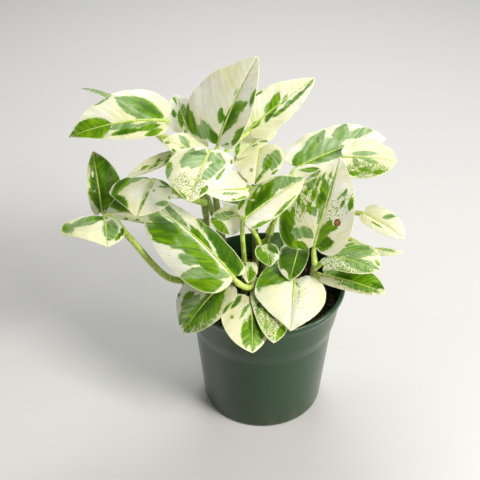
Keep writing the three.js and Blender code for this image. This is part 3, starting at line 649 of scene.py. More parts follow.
# %% Strokes of the outer blades
MARKS |= {
    "right_mid": dict(
        green=[(10, 60, 16, 80, 1.3), (2, 20, 10, 40, 1.6), (84, 30, 94, 16, 1), (24, 40, 30, 55, 1.6),
            (4, 2, 12, 6, 1.3), (30, -10, 40, -30, 0.9), (30, -92, 62, -94, 0.6)],
        grey=[(20, 26, 40, 70, 4.6), (40, 20, 56, 58, 4), (50, 4, 90, 4, 3), (42, -18, 82, -38, 2.6),
            (32, 2, 48, 0, 2.2), (52, 70, 58, 60, 1.8)],
        fleck=[(0, 40, 50, 60, 10, 1), (0, -50, 80, -50, 9, 1)],
    ),
    "right_low": dict(
        green=[(6, 20, 96, 26, 3.2), (20, 44, 84, 56, 4.2), (44, -14, 76, -10, 0.8)],
        grey=[(50, -22, 88, -16, 1.4), (30, -44, 78, -42, 1.2), (0, 4, 20, 4, 0.8)],
        fleck=[(20, -10, 80, -20, 5, 1)],
        dark=[(18, 14, 40, 16, 1.6), (78, 24, 90, 20, 1.6)],
    ),
    "centre_white": dict(
        green=[(36, 48, 56, 40, 1.8), (58, 36, 96, 2, 0.8), (60, 86, 70, 66, 0.9)],
        grey=[(20, 66, 48, 62, 3.6), (30, 36, 60, 36, 2.4), (64, -18, 67, -22, 0.8)],
    ),
    "right_round": dict(
        green=[(34, -58, 46, -62, 1), (62, -68, 78, -58, 1.3), (18, -80, 30, -82, 1.1)],
        grey=[(18, 18, 58, 24, 1.9), (24, 2, 66, -22, 1.4), (20, -10, 28, -40, 1.6), (44, -52, 56, -68, 1.3)],
        fleck=[(20, -62, 80, -58, 7, 1)],
    ),
    "left_fold": dict(
        green=[(40, -24, 92, -50, 4.2), (22, 80, 26, 82, 0.8), (50, 78, 54, 80, 0.8)],
        dark=[(50, -30, 86, -46, 3)],
    ),
    "left_upright": dict(
        green=[(6, 6, 32, 60, 2.6), (4, 6, 84, -6, 4.6), (36, 14, 48, 46, 1.5), (6, -36, 92, -44, 6.4),
            (40, -80, 70, -78, 2.2), (74, 26, 90, 18, 1.6)],
        bare=[(56, 36, 66, 30, 0.8), (30, 48, 34, 30, 0.6)],
        dark=[(6, 8, 60, 0, 4), (20, -50, 80, -50, 3)],
        grey=[(72, 10, 80, 6, 1.4)],
    ),
}
print("blades so far:", len(MARKS))

# %% Strokes of the small blades
MARKS |= {
    "below_top_right": dict(
        green=[(68, -50, 92, -20, 1.3), (20, -90, 30, -96, 0.8)],
        grey=[(32, 80, 40, 50, 1), (50, 50, 60, 30, 0.9)],
    ),
    "upper_mid_left": dict(
        green=[(84, 6, 88, 12, 0.9), (60, 78, 66, 62, 0.7)],
        grey=[(34, -8, 62, -54, 2.3), (44, 10, 50, 20, 1)],
    ),
    "right_small": dict(green=[(22, -46, 44, -46, 0.5), (44, 60, 50, 80, 0.8)], grey=[(38, 38, 52, 84, 1.6)]),
    "centre_pale": dict(
        green=[(0, 70, 16, 86, 1), (26, 92, 32, 90, 0.8)],
        grey=[(18, 38, 56, 34, 0.9)],
        fleck=[(20, -20, 50, -20, 4, 0.2)],
    ),
    "behind_big": dict(green=[(50, 88, 84, -8, 2.4)], grey=[(40, 4, 70, -38, 1.8), (14, -30, 50, -45, 1.3)]),
    "rolled": dict(
        green=[(5, -28, 18, 60, 1.2), (26, -30, 38, 40, 1.1), (52, -6, 64, 0, 1.1)],
        grey=[(40, 30, 50, 40, 1)],
    ),
    "inner_speckled": dict(
        green=[(52, -30, 80, -20, 3.2), (10, -60, 40, -75, 1.6), (4, 40, 30, 70, 2.2)],
        fleck=[(10, -10, 50, 10, 6, 1)],
        dark=[(4, 40, 30, 70, 2.4)],
    ),
    "inner_cream": dict(green=[(30, 24, 88, 24, 1.9), (0, -55, 10, -60, 1.2), (55, 60, 70, 50, 1.6)]),
    # inner_dark lies low in deep shade inside the plant; its full green and dark strokes over the whole blade
    # are painted shade.
    "inner_dark": dict(
        green=[(10, 0, 70, 0, 9)],
        bare=[(78, -50, 92, -22, 1.6)],
        dark=[(10, -30, 60, 10, 8)],
    ),
    "thin_right": dict(grey=[(30, -20, 70, -30, 1)]),
    "far_back_left": dict(grey=[(10, 0, 70, 0, 9)]),
    "back_bit": dict(
        green=[(12, 20, 48, 2, 1.8), (36, 50, 50, 48, 1.1), (70, 14, 96, 20, 0.8)],
        grey=[(30, -10, 60, -20, 1.8)],
    ),
    # inner_deep lies in the deepest shade under the plant; its green and dark strokes over the whole blade
    # are painted shade.
    "inner_deep": dict(green=[(10, 0, 80, 0, 9)], dark=[(10, 0, 80, 0, 7)]),
}
print("blades with strokes of their own:", len(MARKS))

# %% Strokes in fractions
PERCENT = 100

MARKS = {
    name: {kind: [(*np.array(row[:4]) / PERCENT, *row[4:]) for row in rows] for kind, rows in marks.items()}
    for name, marks in MARKS.items()
}
print("strokes drawn by hand:", sum(len(rows) for marks in MARKS.values() for rows in marks.values()))

# %% Strokes of the blades behind
# No one sees these blades from in front, so a seeded rule paints them in the same manner: a few
# sectors of each kind, each starting near the midrib and running out and forward.
SECTORS = {"green": (6, (1.4, 3.4)), "grey": (5, (1.6, 3.8)), "dark": (2, (2.0, 3.0))}


def drawn_strokes(name):
    draw = random.Random("sectors of " + name)
    strokes = {kind: [] for kind in SECTORS}
    for kind, (count, half_widths) in SECTORS.items():
        for _ in range(count):
            side = draw.choice((-1, 1))
            start = draw.uniform(0.0, 0.7)
            inner, outer = draw.uniform(0.05, 0.4), draw.uniform(0.35, 0.85)
            end = start + draw.uniform(0.08, 0.22)
            strokes[kind].append((start, side * inner, end, side * outer, draw.uniform(*half_widths)))
    return strokes


blades_behind = [name for name in LEAVES if name not in MARKS]
MARKS.update((name, drawn_strokes(name)) for name in blades_behind)
print("blades painted by rule:", *blades_behind)

# %% [markdown]
# ## The form of a blade
# A pothos blade is a heart: a notch at the petiole, two round lobes, a belly a third of the way
# up and a drawn-out tip. Half an outline is three Bezier curves, in fractions of the length and
# of the half width. The flat heart is then folded, curled and arched by one rule, so every point of
# a fine mesh lies on the same surface as the plain solid that it replaces.

# %% The outline of half a blade
LOBE_DEPTH = 0.15
BELLY = 0.3
LOBE_SHARE = 0.4


def both_sides(value):
    return value if isinstance(value, tuple) else (value, value)


def bezier(corners, t):
    a, b, c, d = (np.array(corner, float) for corner in corners)
    t = np.asarray(t, float)[..., None]
    return (1 - t) ** 3 * a + 3 * (1 - t) ** 2 * t * b + 3 * (1 - t) * t**2 * c + t**3 * d


def half_outline(full, lobe):
    back = -LOBE_DEPTH * lobe
    shoulder = ((BELLY, 1), (0.55 + 0.15 * full, 1), (0.8 + 0.1 * full, 0.35 + 0.3 * full), (1, 0))
    return {
        "notch": ((0, 0), (back / 3, 0.08), (back, 0.18), (back, 0.45)),
        "lobe": ((back, 0.45), (back, 0.85), (0.12, 1), (BELLY, 1)),
        "shoulder": shoulder,
    }


def edge_point(outline, q):
    on_lobe = bezier(outline["lobe"], np.clip(q / LOBE_SHARE, 0, 1))
    on_shoulder = bezier(outline["shoulder"], np.clip((q - LOBE_SHARE) / (1 - LOBE_SHARE), 0, 1))
    return np.where((q < LOBE_SHARE)[..., None], on_lobe, on_shoulder)


print("a lobe of 1 reaches", LOBE_DEPTH, "of the length behind the base, and the belly is at", BELLY)

# %% The bend of a blade
USUAL_FORM = dict(roll=0, fold=8, curl=-20, arch=20)
# A lobe that reaches further back than this is bent no more.
LEAST_BENT_U = -0.2


def sinc(angle):
    return np.sinc(np.asarray(angle, float) / math.pi)


class Blade:
    """The bent surface of one blade. place(u, v) gives a point in mm: u along the midrib, v across."""

    def __init__(self, plan):
        form = {**USUAL_FORM, **plan}
        self.base = np.array(plan["base"], float)
        chord = np.array(plan["tip"], float) - self.base
        self.heading = chord / np.linalg.norm(chord)
        level = np.cross((0, 0, 1), self.heading)
        level /= np.linalg.norm(level)
        roll = math.radians(form["roll"])
        lift = np.cross(self.heading, level)
        self.left = level * math.cos(roll) + lift * math.sin(roll)
        self.normal = np.cross(self.heading, self.left)
        self.arch = math.radians(form["arch"])
        self.length = np.linalg.norm(chord) / float(sinc(self.arch / 2))
        self.half = plan["half"]
        self.fold = np.radians(both_sides(form["fold"]))
        self.curl = np.radians(both_sides(form["curl"]))

    def place(self, u, v):
        u, v = np.asarray(u, float), np.asarray(v, float)
        left = v >= 0
        fold = np.where(left, *self.fold)
        turn = np.where(left, *self.curl) * np.abs(v)
        span = np.abs(v) * np.where(left, *self.half) * sinc(turn / 2)
        across = span * np.cos(fold + turn / 2) * np.sign(v)
        above = span * np.sin(fold + turn / 2)
        bend = self.arch * np.maximum(u, LEAST_BENT_U)
        chord = u * self.length * sinc(bend / 2)
        along = chord * np.cos((self.arch - bend) / 2) - above * np.sin(self.arch / 2 - bend)
        rise = chord * np.sin((self.arch - bend) / 2) + above * np.cos(self.arch / 2 - bend)
        ways = ((self.heading, along), (self.normal, rise), (self.left, across))
        return self.base + sum(way * distance[..., None] for way, distance in ways)

    def under(self, u, drop):
        return self.place(u, 0.0) - self.normal * drop


front = Blade(LEAVES["front_big"])
print("the largest blade is", round(front.length), "mm long and", sum(front.half), "mm wide")

# %% [markdown]
# ## A fine sheet for each blade
# The sheet is a grid of rows from the midrib to the edge. Rows near the petiole bend to follow the
# notch. With each point goes what its finish needs: its place on the flat blade, its place
# counted in side veins, how far it is from the edge, and how deep it lies inside each kind of
# sector. A distance is stored as 0.5 plus mm over 20, so that it stays between 0 and 1.

# %% Grid of a blade
ROWS = 54
COLUMNS = 17
CROWDING = 1.25
NOTCH_ROWS = 0.25
USUAL_FULL, USUAL_LOBE = 0.5, 0.6


def sheet_grid(plan):
    """Flat coordinates (u, v), reach and rim gap of each point, and the faces of the sheet."""
    uv, reach, gap, index = [], [], [], {}
    for i in range(ROWS + 1):
        index[i, 0] = len(uv)
        uv.append(((i / ROWS) ** CROWDING, 0.0))
        reach.append(0.0)
        gap.append(0.0)
    for side in (1, -1):
        k = 0 if side == 1 else 1
        full = both_sides(plan.get("full", USUAL_FULL))[k]
        lobe = both_sides(plan.get("lobe", USUAL_LOBE))[k]
        outline = half_outline(full, lobe)
        f = np.arange(1, COLUMNS + 1) / COLUMNS
        notch = bezier(outline["notch"], f) - f[:, None] * bezier(outline["notch"], 1.0)
        for i in range(ROWS):
            q = i / ROWS
            start = np.array((q**CROWDING, 0.0))
            edge = edge_point(outline, np.array(q))
            row = start + (edge - start) * f[:, None] + notch * max(0.0, 1 - q / NOTCH_ROWS) ** 2
            for j in range(1, COLUMNS + 1):
                index[i, side * j] = len(uv)
                uv.append((row[j - 1, 0], side * row[j - 1, 1]))
                reach.append(f[j - 1])
                gap.append((1 - f[j - 1]) * edge[1] * plan["half"][k])
    for i in range(ROWS + 1):
        gap[index[i, 0]] = plan["half"][0]
    faces = []
    for side in (1, -1):
        for j in range(COLUMNS):
            for i in range(ROWS):
                corners = [index[i, side * j], index[i + 1, 0] if i + 1 == ROWS else index[i + 1, side * j]]
                if i + 1 < ROWS:
                    corners.append(index[i + 1, side * (j + 1)])
                corners.append(index[i, side * (j + 1)])
                faces.append(corners if side == 1 else corners[::-1])
    return np.array(uv), np.array(reach), np.array(gap), faces


print("a sheet has", 2 * ROWS * COLUMNS, "faces")

# %% Depth inside the strokes
FAR_OUTSIDE = -10.0
FIRM_RADIUS = 3.2
FIRMEST = 2.0
LENS_END = 1.25
LENS_WIDTH = 1.15
SHORTEST_RUN = 0.5
FLECK_FADE = 4
FLECK_MARGIN = 0.4


def stroke_depth(flat, half, length, strokes):
    """How deep each flat point lies inside the strokes, in mm. Outside it is negative.

    A sector is a lens, widest in the middle and pointed where its row of cells began and ended. A
    thin one counts as deeper than it is, or the torn edges would break it up."""
    depth = np.full(len(flat), FAR_OUTSIDE)
    for u0, v0, u1, v1, radius, *_ in strokes:
        a, b = (np.array((u * length, v * half[int(v < 0)])) for u, v in ((u0, v0), (u1, v1)))
        run = np.linalg.norm(b - a)
        heading = (b - a) / run if run > SHORTEST_RUN else np.array((1.0, 0.0))
        along = np.abs((flat - (a + b) / 2) @ heading) / (run / 2 + LENS_END * radius)
        across = np.abs((flat - a) @ np.array((-heading[1], heading[0])))
        inside = LENS_WIDTH * radius * (1 - along**2) - across
        depth = np.maximum(depth, inside * min(FIRMEST, max(1.0, FIRM_RADIUS / radius)))
    return depth


def fleck_share(flat, half, length, strokes):
    share = np.zeros(len(flat))
    for stroke in strokes:
        inside = stroke_depth(flat, half, length, [stroke]) / FLECK_FADE + FLECK_MARGIN
        share = np.maximum(share, np.clip(inside, 0, 1) * stroke[5])
    return share


print("a sector narrower than", 2 * FIRM_RADIUS, "mm counts as deeper than it is")

# %% What the sheet carries
DEPTH_SCALE = 20.0
VEINS = 11
VEIN_SLANT = 0.55
VEIN_SWEEP = 0.018
RIB_AT_BASE, RIB_THINNING, RIB_FULL_LENGTH = 0.62, 0.42, 45
SEED_STEP = 37.0
SPOT = dict(leaf="right_main", u=0.305, v=-0.52, radius=2.3)


def packed(*depths):
    """Three depths in mm as one colour."""
    channels = [np.clip(0.5 + depth / DEPTH_SCALE, 0, 1) for depth in depths]
    return np.stack([*channels, np.ones(len(depths[0]))], axis=1)


def store(mesh, name, kind, values):
    attribute = mesh.attributes.new(name, kind, "POINT")
    field = {"FLOAT": "value", "FLOAT_VECTOR": "vector", "FLOAT_COLOR": "color"}[kind]
    attribute.data.foreach_set(field, np.asarray(values, np.float32).ravel())


def spot_depth(name, flat, half, length):
    if name != SPOT["leaf"]:
        return np.full(len(flat), FAR_OUTSIDE)
    return SPOT["radius"] - np.linalg.norm(flat - (SPOT["u"] * length, SPOT["v"] * half[1]), axis=1)


def blade_sheet(name, plan, blade, number):
    uv, reach, gap, faces = sheet_grid(plan)
    half, length = plan["half"], blade.length
    flat = np.stack([uv[:, 0] * length, uv[:, 1] * np.where(uv[:, 1] >= 0, *half)], axis=1)
    off_rib = np.abs(flat[:, 1])
    veins = (flat[:, 0] - VEIN_SLANT * off_rib - VEIN_SWEEP * flat[:, 1] ** 2) * VEINS / length
    marks = MARKS[name]
    green, grey, bare, dark = (
        stroke_depth(flat, half, length, marks.get(kind, [])) for kind in ("green", "grey", "bare", "dark")
    )
    rib = (RIB_AT_BASE - RIB_THINNING * uv[:, 0]) * min(1.0, length / RIB_FULL_LENGTH) - off_rib
    spot = spot_depth(name, flat, half, length)
    seed = np.full(len(flat), number * SEED_STEP)
    mesh = mesh_in_mm("blade_" + name, blade.place(uv[:, 0], uv[:, 1]), [], faces)
    store(mesh, "flat_place", "FLOAT_VECTOR", np.stack([flat[:, 0], flat[:, 1], seed], axis=1))
    store(mesh, "vein_place", "FLOAT_VECTOR", np.stack([veins, flat[:, 1], seed], axis=1))
    store(mesh, "reach", "FLOAT", reach)
    store(mesh, "sectors", "FLOAT_COLOR", packed(np.minimum(green, -bare), np.minimum(grey, -bare), dark))
    store(mesh, "details", "FLOAT_COLOR", packed(rib, spot, -gap))
    store(mesh, "fleck", "FLOAT", fleck_share(flat, half, length, marks.get("fleck", [])))
    return mesh


print("each sheet carries its place, its veins, its sectors and its details")

# %% [markdown]
# ## The skin of a blade
# The strokes only say roughly where a sector lies. Its real edge is torn along the side veins,
# because each sector grew from cells in a row. A shader node group pushes the stored depth in and out
# with noise stretched along the veins and then cuts it sharply, and the same group serves the upper
# and the lower skin. It puts out masks only, so each skin mixes its own colours from them.

# %% Shader group: sectors torn along the veins
FLECK_SHARE, FLECK_LIMIT = 0.16, 0.72
TORN_MASKS = ("Green", "Grey", "Dark", "Fleck", "Rib", "Rim", "Vein", "Spot", "Ring", "Tone", "Near")

web, source, target = shader_group("torn_sectors", ["Tear", "Fleck Gain"], TORN_MASKS)
flat = web.stored("flat_place", "Vector")
vein_x, vein_y, seed = web.split(web.stored("vein_place", "Vector"))


def depths_in_mm(name):
    channels = web.split(web.stored(name, "Color"), "ShaderNodeSeparateColor")
    return [(channel - 0.5) * DEPTH_SCALE for channel in channels]


def along_veins(count, stretch, shift, detail):
    return web.noise(web.join(vein_x * count, vein_y * stretch, seed + shift), 1.0, detail, 0.6)


def wander(scale, detail, reach):
    return (web.noise(flat, scale, detail) - 0.5) * reach


def torn(depth, streak):
    return depth + (streak - 0.5) * source["Tear"] + (grain + lobes)


# The third sector depth deepens the green: partly the blade's own darker green, partly painted shade where a
# blade lies in shade.
green_depth, grey_depth, dark_and_shade_depth = depths_in_mm("sectors")
rib_depth, spot_in_mm, rim_depth = depths_in_mm("details")
grain = wander(1.3, 2.0, 1.3)
lobes = wander(0.22, 2.5, 3.0)
streak = along_veins(2.1, 0.09, 0.0, 3.0)
second_streak = along_veins(2.9, 0.11, 5.0, 3.0)
tone = along_veins(1.6, 0.10, 11.0, 4.0)
dots = along_veins(4.2, 0.62, 23.0, 2.5)

# A green sector shows a narrow grey-green fringe where the pale layer has grown over it.
green = torn(green_depth, streak)
grey = torn(web.math("MAXIMUM", grey_depth, green_depth + 0.5), second_streak)
# Inside the pale layer some cell rows are fully green again.
rows_in_grey = web.between(grey, 0.4, 1.4) * web.between(second_streak, 0.60, 0.64)
fleck_limit = FLECK_LIMIT - (web.stored("fleck", "Fac") + FLECK_SHARE) * source["Fleck Gain"]
from_vein = web.math("ABSOLUTE", web.math("FRACT", vein_x + 0.5) - 0.5)
spot = spot_in_mm + grain
inside_spot = web.between(spot, -0.25, 0.15)
# A limit on a depth is in mm inside the sector's edge, and one on noise runs from 0 to 1.
web.dress(target, {
    "Near": web.between(grey, -2.6, 0.0),
    "Green": web.math("MAXIMUM", web.between(green, -0.3, 0.3), rows_in_grey),
    "Grey": web.between(grey, -0.35, 0.35),
    "Dark": web.between(torn(dark_and_shade_depth, tone), -1.6, 1.6),
    "Fleck": web.between(dots - fleck_limit, 0.0, 0.035),
    "Rib": web.between(rib_depth, -0.3, 0.2),
    "Rim": web.between(rim_depth, -0.75, -0.15),
    "Vein": (1.0 - web.between(from_vein, 0.01, 0.075)) * web.between(rim_depth, -0.8, -3.0),
    "Spot": inside_spot,
    "Ring": inside_spot - web.between(spot, 0.35, 1.2),
    "Tone": tone,
})
print("group torn_sectors gives", *TORN_MASKS)

# %% [markdown]
# Both skins mix the same sequence: cream, grey-green, green, darker green, flecks, veins, rim
# and the one brown spot. The darker green is partly the blade's own and partly painted shade. The
# upper skin is waxy, with the veins sunk. The lower one is paler and duller, with the veins raised.
# A little light passes through the thin blade, which a small subsurface share gives.

# %% Colours of a blade
UPPER = dict(
    cream=(0.80, 0.78, 0.50), white=(0.87, 0.87, 0.75), hint=(0.56, 0.68, 0.22), grey=(0.150, 0.285, 0.075),
    grey_light=(0.34, 0.47, 0.20), green=(0.070, 0.200, 0.002), fresh=(0.215, 0.400, 0.004),
    deep=(0.020, 0.085, 0.002), rib=(0.66, 0.74, 0.34), rim=(0.80, 0.82, 0.52),
)
LOWER = dict(
    cream=(0.70, 0.69, 0.42), white=(0.74, 0.75, 0.56), hint=(0.54, 0.62, 0.30), grey=(0.30, 0.45, 0.18),
    grey_light=(0.44, 0.56, 0.28), green=(0.16, 0.34, 0.04), fresh=(0.25, 0.44, 0.06),
    deep=(0.10, 0.24, 0.03), rib=(0.58, 0.68, 0.27), rim=(0.72, 0.75, 0.46),
)
SPOT_CENTRE = (0.36, 0.19, 0.08)
SPOT_RING = (0.14, 0.050, 0.012)
print("a blade has", len(UPPER), "colours on each side, and the spot has two")

# %% The two skins
TEAR_IN_MM = 3.4
FLECK_GAIN = 0.215
WAXY = {
    "Specular IOR Level": 0.30, "Specular Tint": (0.97, 1.0, 0.70, 1.0), "Subsurface Weight": 0.12,
    "Subsurface Radius": (0.6, 1.0, 0.25), "Subsurface Scale": 0.0015,
}


def blade_skin(name, tones, least_rough, vein_relief):
    material, web, skin = new_material(name, tones["grey_light"])
    mask = use_group(web, "torn_sectors", Tear=TEAR_IN_MM, Fleck_Gain=FLECK_GAIN)
    tone, place = mask["Tone"], web.place()
    pale = web.mix(web.between(web.noise(place, 26.0), 0.38, 0.62), tones["cream"], tones["white"])
    for share in (web.between(tone, 0.52, 0.62) * 0.30, mask["Near"] * 0.34):
        pale = web.mix(share, pale, tones["hint"])
    grey = web.mix(web.between(tone, 0.36, 0.66), tones["grey"], tones["grey_light"])
    green = web.mix(web.between(tone, 0.36, 0.68), tones["green"], tones["fresh"])
    # This mask mixes in the deep green: partly the blade's darker green, partly painted shade.
    green = web.mix(mask["Dark"] * 0.7, green, tones["deep"])
    colour = web.mix(mask["Grey"], pale, grey)
    for share, over in (
        (mask["Green"], green),
        (mask["Fleck"] * 0.9, green),
        (mask["Vein"] * 0.07, tones["hint"]),
        (mask["Rib"] * (0.22 + mask["Grey"] * 0.38), tones["rib"]),
        (mask["Rim"] * 0.8, tones["rim"]),
        (mask["Spot"], SPOT_CENTRE),
        (mask["Ring"], SPOT_RING),
    ):
        colour = web.mix(share, colour, over)
    height = mask["Vein"] * vein_relief + web.noise(place, 900.0) * 0.25 + mask["Rib"] * vein_relief
    rough = least_rough + web.noise(place, 120.0) * 0.16
    bump = web.bump(height, 0.00012, 0.7)
    web.dress(skin, {"Base Color": colour, "Roughness": rough, "Normal": bump, **WAXY})
    return material


upper_skin = blade_skin("blade_upper_skin", UPPER, 0.27, -0.6)
lower_skin = blade_skin("blade_lower_skin", LOWER, 0.46, 1.0)
print("materials:", upper_skin.name, lower_skin.name)

# %% [markdown]
# ## Petioles and vines
# A petiole is the leaf's own stalk. It wraps the vine a little where it starts, stays round and
# even, swells slightly at the knee below the blade, and runs on under the blade as the ridge of the
# midrib. A vine is thicker, with a ringed knot wherever a leaf starts. A row of straight pieces would
# show its joints, so both are swept along smooth paths that pass through the plan's points.

# %% Shader group and material for green stems
FIBRE_LENGTHENING = (1.0, 1.0, 0.16)
FIBRE_SCALE = 700.0
JUICY = {"Subsurface Weight": 0.1, "Subsurface Radius": (0.7, 1.0, 0.2), "Subsurface Scale": 0.002}

web, source, target = shader_group("stem_fibres", ["Scale"], ["Fibre", "Blotch"])
stretched = web.out("ShaderNodeVectorMath", {0: web.place(), 1: FIBRE_LENGTHENING}, operation="MULTIPLY")
web.feed(target["Fibre"], web.noise(stretched, source["Scale"], 3.0))
web.feed(target["Blotch"], web.noise(web.place(), source["Scale"] / 9.0))


def stem_skin(name, pale, green, brown, brown_share):
    material, web, skin = new_material(name, green)
    fibres = use_group(web, "stem_fibres", Scale=FIBRE_SCALE)
    colour = web.mix(web.between(fibres["Fibre"], 0.38, 0.62), green, pale)
    colour = web.mix(web.between(fibres["Blotch"], 0.5, 0.7) * 0.5, colour, green)
    colour = web.mix(web.stored("knot", "Fac") * brown_share, colour, brown)
    bump = web.bump(fibres["Fibre"], 0.0002, 0.5)
    rough = 0.32 + fibres["Fibre"] * 0.2
    web.dress(skin, {"Base Color": colour, "Roughness": rough, "Normal": bump, **JUICY})
    return material


petiole_skin = stem_skin("petiole_skin", (0.66, 0.76, 0.20), (0.40, 0.58, 0.05), (0.60, 0.62, 0.24), 0.3)
vine_skin = stem_skin("vine_skin", (0.36, 0.44, 0.12), (0.17, 0.28, 0.04), (0.22, 0.13, 0.05), 0.8)
print("materials:", petiole_skin.name, vine_skin.name)

# %% Smooth paths through points


def smooth_path(points, steps=24):
    """Centripetal Catmull-Rom curve through the points, as closely spaced points in mm."""
    points = [np.array(p, float) for p in points]
    points = [2 * points[0] - points[1], *points, 2 * points[-1] - points[-2]]
    out = []
    for p0, p1, p2, p3 in zip(points, points[1:], points[2:], points[3:]):
        d0, d1, d2 = (math.sqrt(max(np.linalg.norm(b - a), 1e-6)) for a, b in ((p0, p1), (p1, p2), (p2, p3)))
        m1 = ((p1 - p0) / d0 - (p2 - p0) / (d0 + d1) + (p2 - p1) / d1) * d1
        m2 = ((p2 - p1) / d1 - (p3 - p1) / (d1 + d2) + (p3 - p2) / d2) * d1
        for t in np.arange(steps) / steps:
            t2, t3 = t * t, t * t * t
            out.append(
                (2 * t3 - 3 * t2 + 1) * p1 + (t3 - 2 * t2 + t) * m1 + (3 * t2 - 2 * t3) * p2 + (t3 - t2) * m2
            )
    out.append(points[-2])
    return np.array(out)


def measured(path):
    """Distance of each point from the path's start."""
    return np.concatenate([[0], np.cumsum(np.linalg.norm(np.diff(path, axis=0), axis=1))])


def resampled(path, count):
    run = measured(path)
    at = np.linspace(0, run[-1], count)
    return np.stack([np.interp(at, run, path[:, k]) for k in range(3)], axis=1)


def hump(distance, width):
    """1 at distance 0, fading to 0 within about two widths."""
    return np.exp(-((distance / width) ** 2))


print("a hump is", round(float(hump(1.0, 1.0)), 2), "high at one width from its middle")

# %% Sweeping a stem


def stem_piece(name, path, thickness, knot, sides, finish):
    """A swept stem from a path in mm and its radius at each point."""
    mesh = mesh_in_mm(name, path, [(k, k + 1) for k in range(len(path) - 1)], [])
    store(mesh, "thickness", "FLOAT", thickness * MM)
    store(mesh, "knot", "FLOAT", knot)
    piece = new_piece(name, mesh)
    with_tree(piece, "stem_along_path", Sides=sides, Finish=finish)
    return settle(piece)


print("stems are swept by the tree stem_along_path")

# %% Vines
VINE_FOOT = 46.3
VINE_UPRIGHT = (VINE_FOOT, SOIL_LEVEL - 14, SOIL_LEVEL + 4)
VINE_POINTS, VINE_SIDES = 140, 18
VINE_TAPER = 0.25
TIP_ROUNDING = 2.5
KNOT_WIDTH, KNOT_SWELL = 1.6, 0.22
RING_BELOW, RING_WIDTH, RING_DEPTH = 2.0, 0.5, 0.15


def vine_path(plan):
    upright = [(*plan["root"], z) for z in VINE_UPRIGHT]
    return resampled(smooth_path(upright + plan["path"]), VINE_POINTS)


vine_paths = {name: vine_path(plan) for name, plan in VINES.items()}
for name, plan in VINES.items():
    run = measured(vine_paths[name])
    starts = [one["at"] * run[-1] for one in LEAVES.values() if one["vine"] == name]
    knots = sum(hump(run - start, KNOT_WIDTH) for start in starts)
    rings = sum(hump(run - start + RING_BELOW, RING_WIDTH) for start in starts)
    end = np.sqrt(np.clip((run[-1] - run) / TIP_ROUNDING, 0.02, 1))
    radius = plan["radius"] * (1 - VINE_TAPER * run / run[-1]) * end
    radius += KNOT_SWELL * np.clip(knots, 0, 1) - RING_DEPTH * np.clip(rings, 0, 1)
    browned = np.clip(rings + 0.3 * knots, 0, 1)
    piece = stem_piece("vine_" + name + "_stem", vine_paths[name], radius, browned, VINE_SIDES, vine_skin)
    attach(piece, "root")
    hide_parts("vine_" + name)
print("vines swept:", len(VINES))

# %% [markdown]
# ## The leaves
# Each leaf is one piece, as it grew. The blade could be a solid from the start, but a sheet is
# easier to wave and pucker: it gets its relief first, then a thickness of half a millimetre by
# Solidify, which also tells its upper from its lower side, and its petiole is joined to it.

# %% A petiole and its ridge
PETIOLE_RADIUS = 1.5
PETIOLE_SIDES, PETIOLE_STEPS = 12, 16
PLACES_ON_VINE = 500
STALK_TAPER = 0.25
FOOT_SWELL, FOOT_WIDTH = 0.35, 5.0
KNEE_U, KNEE_DROP, KNEE_PLACE, KNEE_SWELL, KNEE_WIDTH = -0.04, 0.85, 3.0, 0.10, 2.5
SHEATH_PLACE, SHEATH_WIDTH = 2.0, 3.0
RIDGE = (0.05, 0.13, 0.26, 0.45, 0.65, 0.82, 0.93)
RIDGE_START, RIDGE_THICK, RIDGE_THIN, RIDGE_LEAST_DROP = 0.9, 0.62, 0.16, 0.42


def ridge_share(u):
    """How thick the midrib's ridge is at u, as a share of the petiole's radius."""
    return RIDGE_THICK if u < 0.1 else RIDGE_THIN + 0.5 * (1 - u) ** 3


def petiole(name, plan, blade):
    radius = plan.get("stalk", PETIOLE_RADIUS)
    places = resampled(vine_paths[plan["vine"]], PLACES_ON_VINE + 1)
    start = places[round(plan["at"] * PLACES_ON_VINE)]
    ridge_radii = [radius * ridge_share(u) for u in RIDGE]
    tail = [blade.under(u, max(RIDGE_LEAST_DROP, 0.95 * r)) for u, r in zip(RIDGE, ridge_radii)]
    knee = blade.under(KNEE_U, radius * KNEE_DROP)
    path = smooth_path([start, *plan.get("via", []), knee, *tail], PETIOLE_STEPS)
    run = measured(path)
    bend_at = run[np.argmin(np.linalg.norm(path - knee, axis=1))]
    before = np.clip(bend_at - run, 0, None)
    stalk = radius * (1 + STALK_TAPER * before / run[-1])
    stalk *= 1 + FOOT_SWELL * hump(run, FOOT_WIDTH) + KNEE_SWELL * hump(before - KNEE_PLACE, KNEE_WIDTH)
    beyond = np.clip((run - bend_at) / (run[-1] - bend_at), 0, 1)
    ridge = np.interp(beyond, np.linspace(0, 1, len(RIDGE) + 1), [radius * RIDGE_START, *ridge_radii])
    thickness = np.where(run > bend_at, ridge, stalk)
    sheath = hump(before - SHEATH_PLACE, SHEATH_WIDTH) * (run <= bend_at)
    return stem_piece("petiole_" + name, path, thickness, sheath, PETIOLE_SIDES, petiole_skin)


print("a usual ridge starts", round(PETIOLE_RADIUS * ridge_share(RIDGE[0]), 2), "mm in radius")

# %% Leaves
BLADE_THICKNESS = 0.5
FULL_RELIEF_LENGTH = 55
RELIEF = dict(Pucker=0.00008, Wave=0.0030, Wave_Length=24.0, Edge_Ripple=0.0002, Groove=0.0006)
SHARPEST_BEND = 50


def joined(piece, other):
    with bpy.context.temp_override(active_object=piece, selected_editable_objects=[piece, other]):
        bpy.ops.object.join()
    return piece


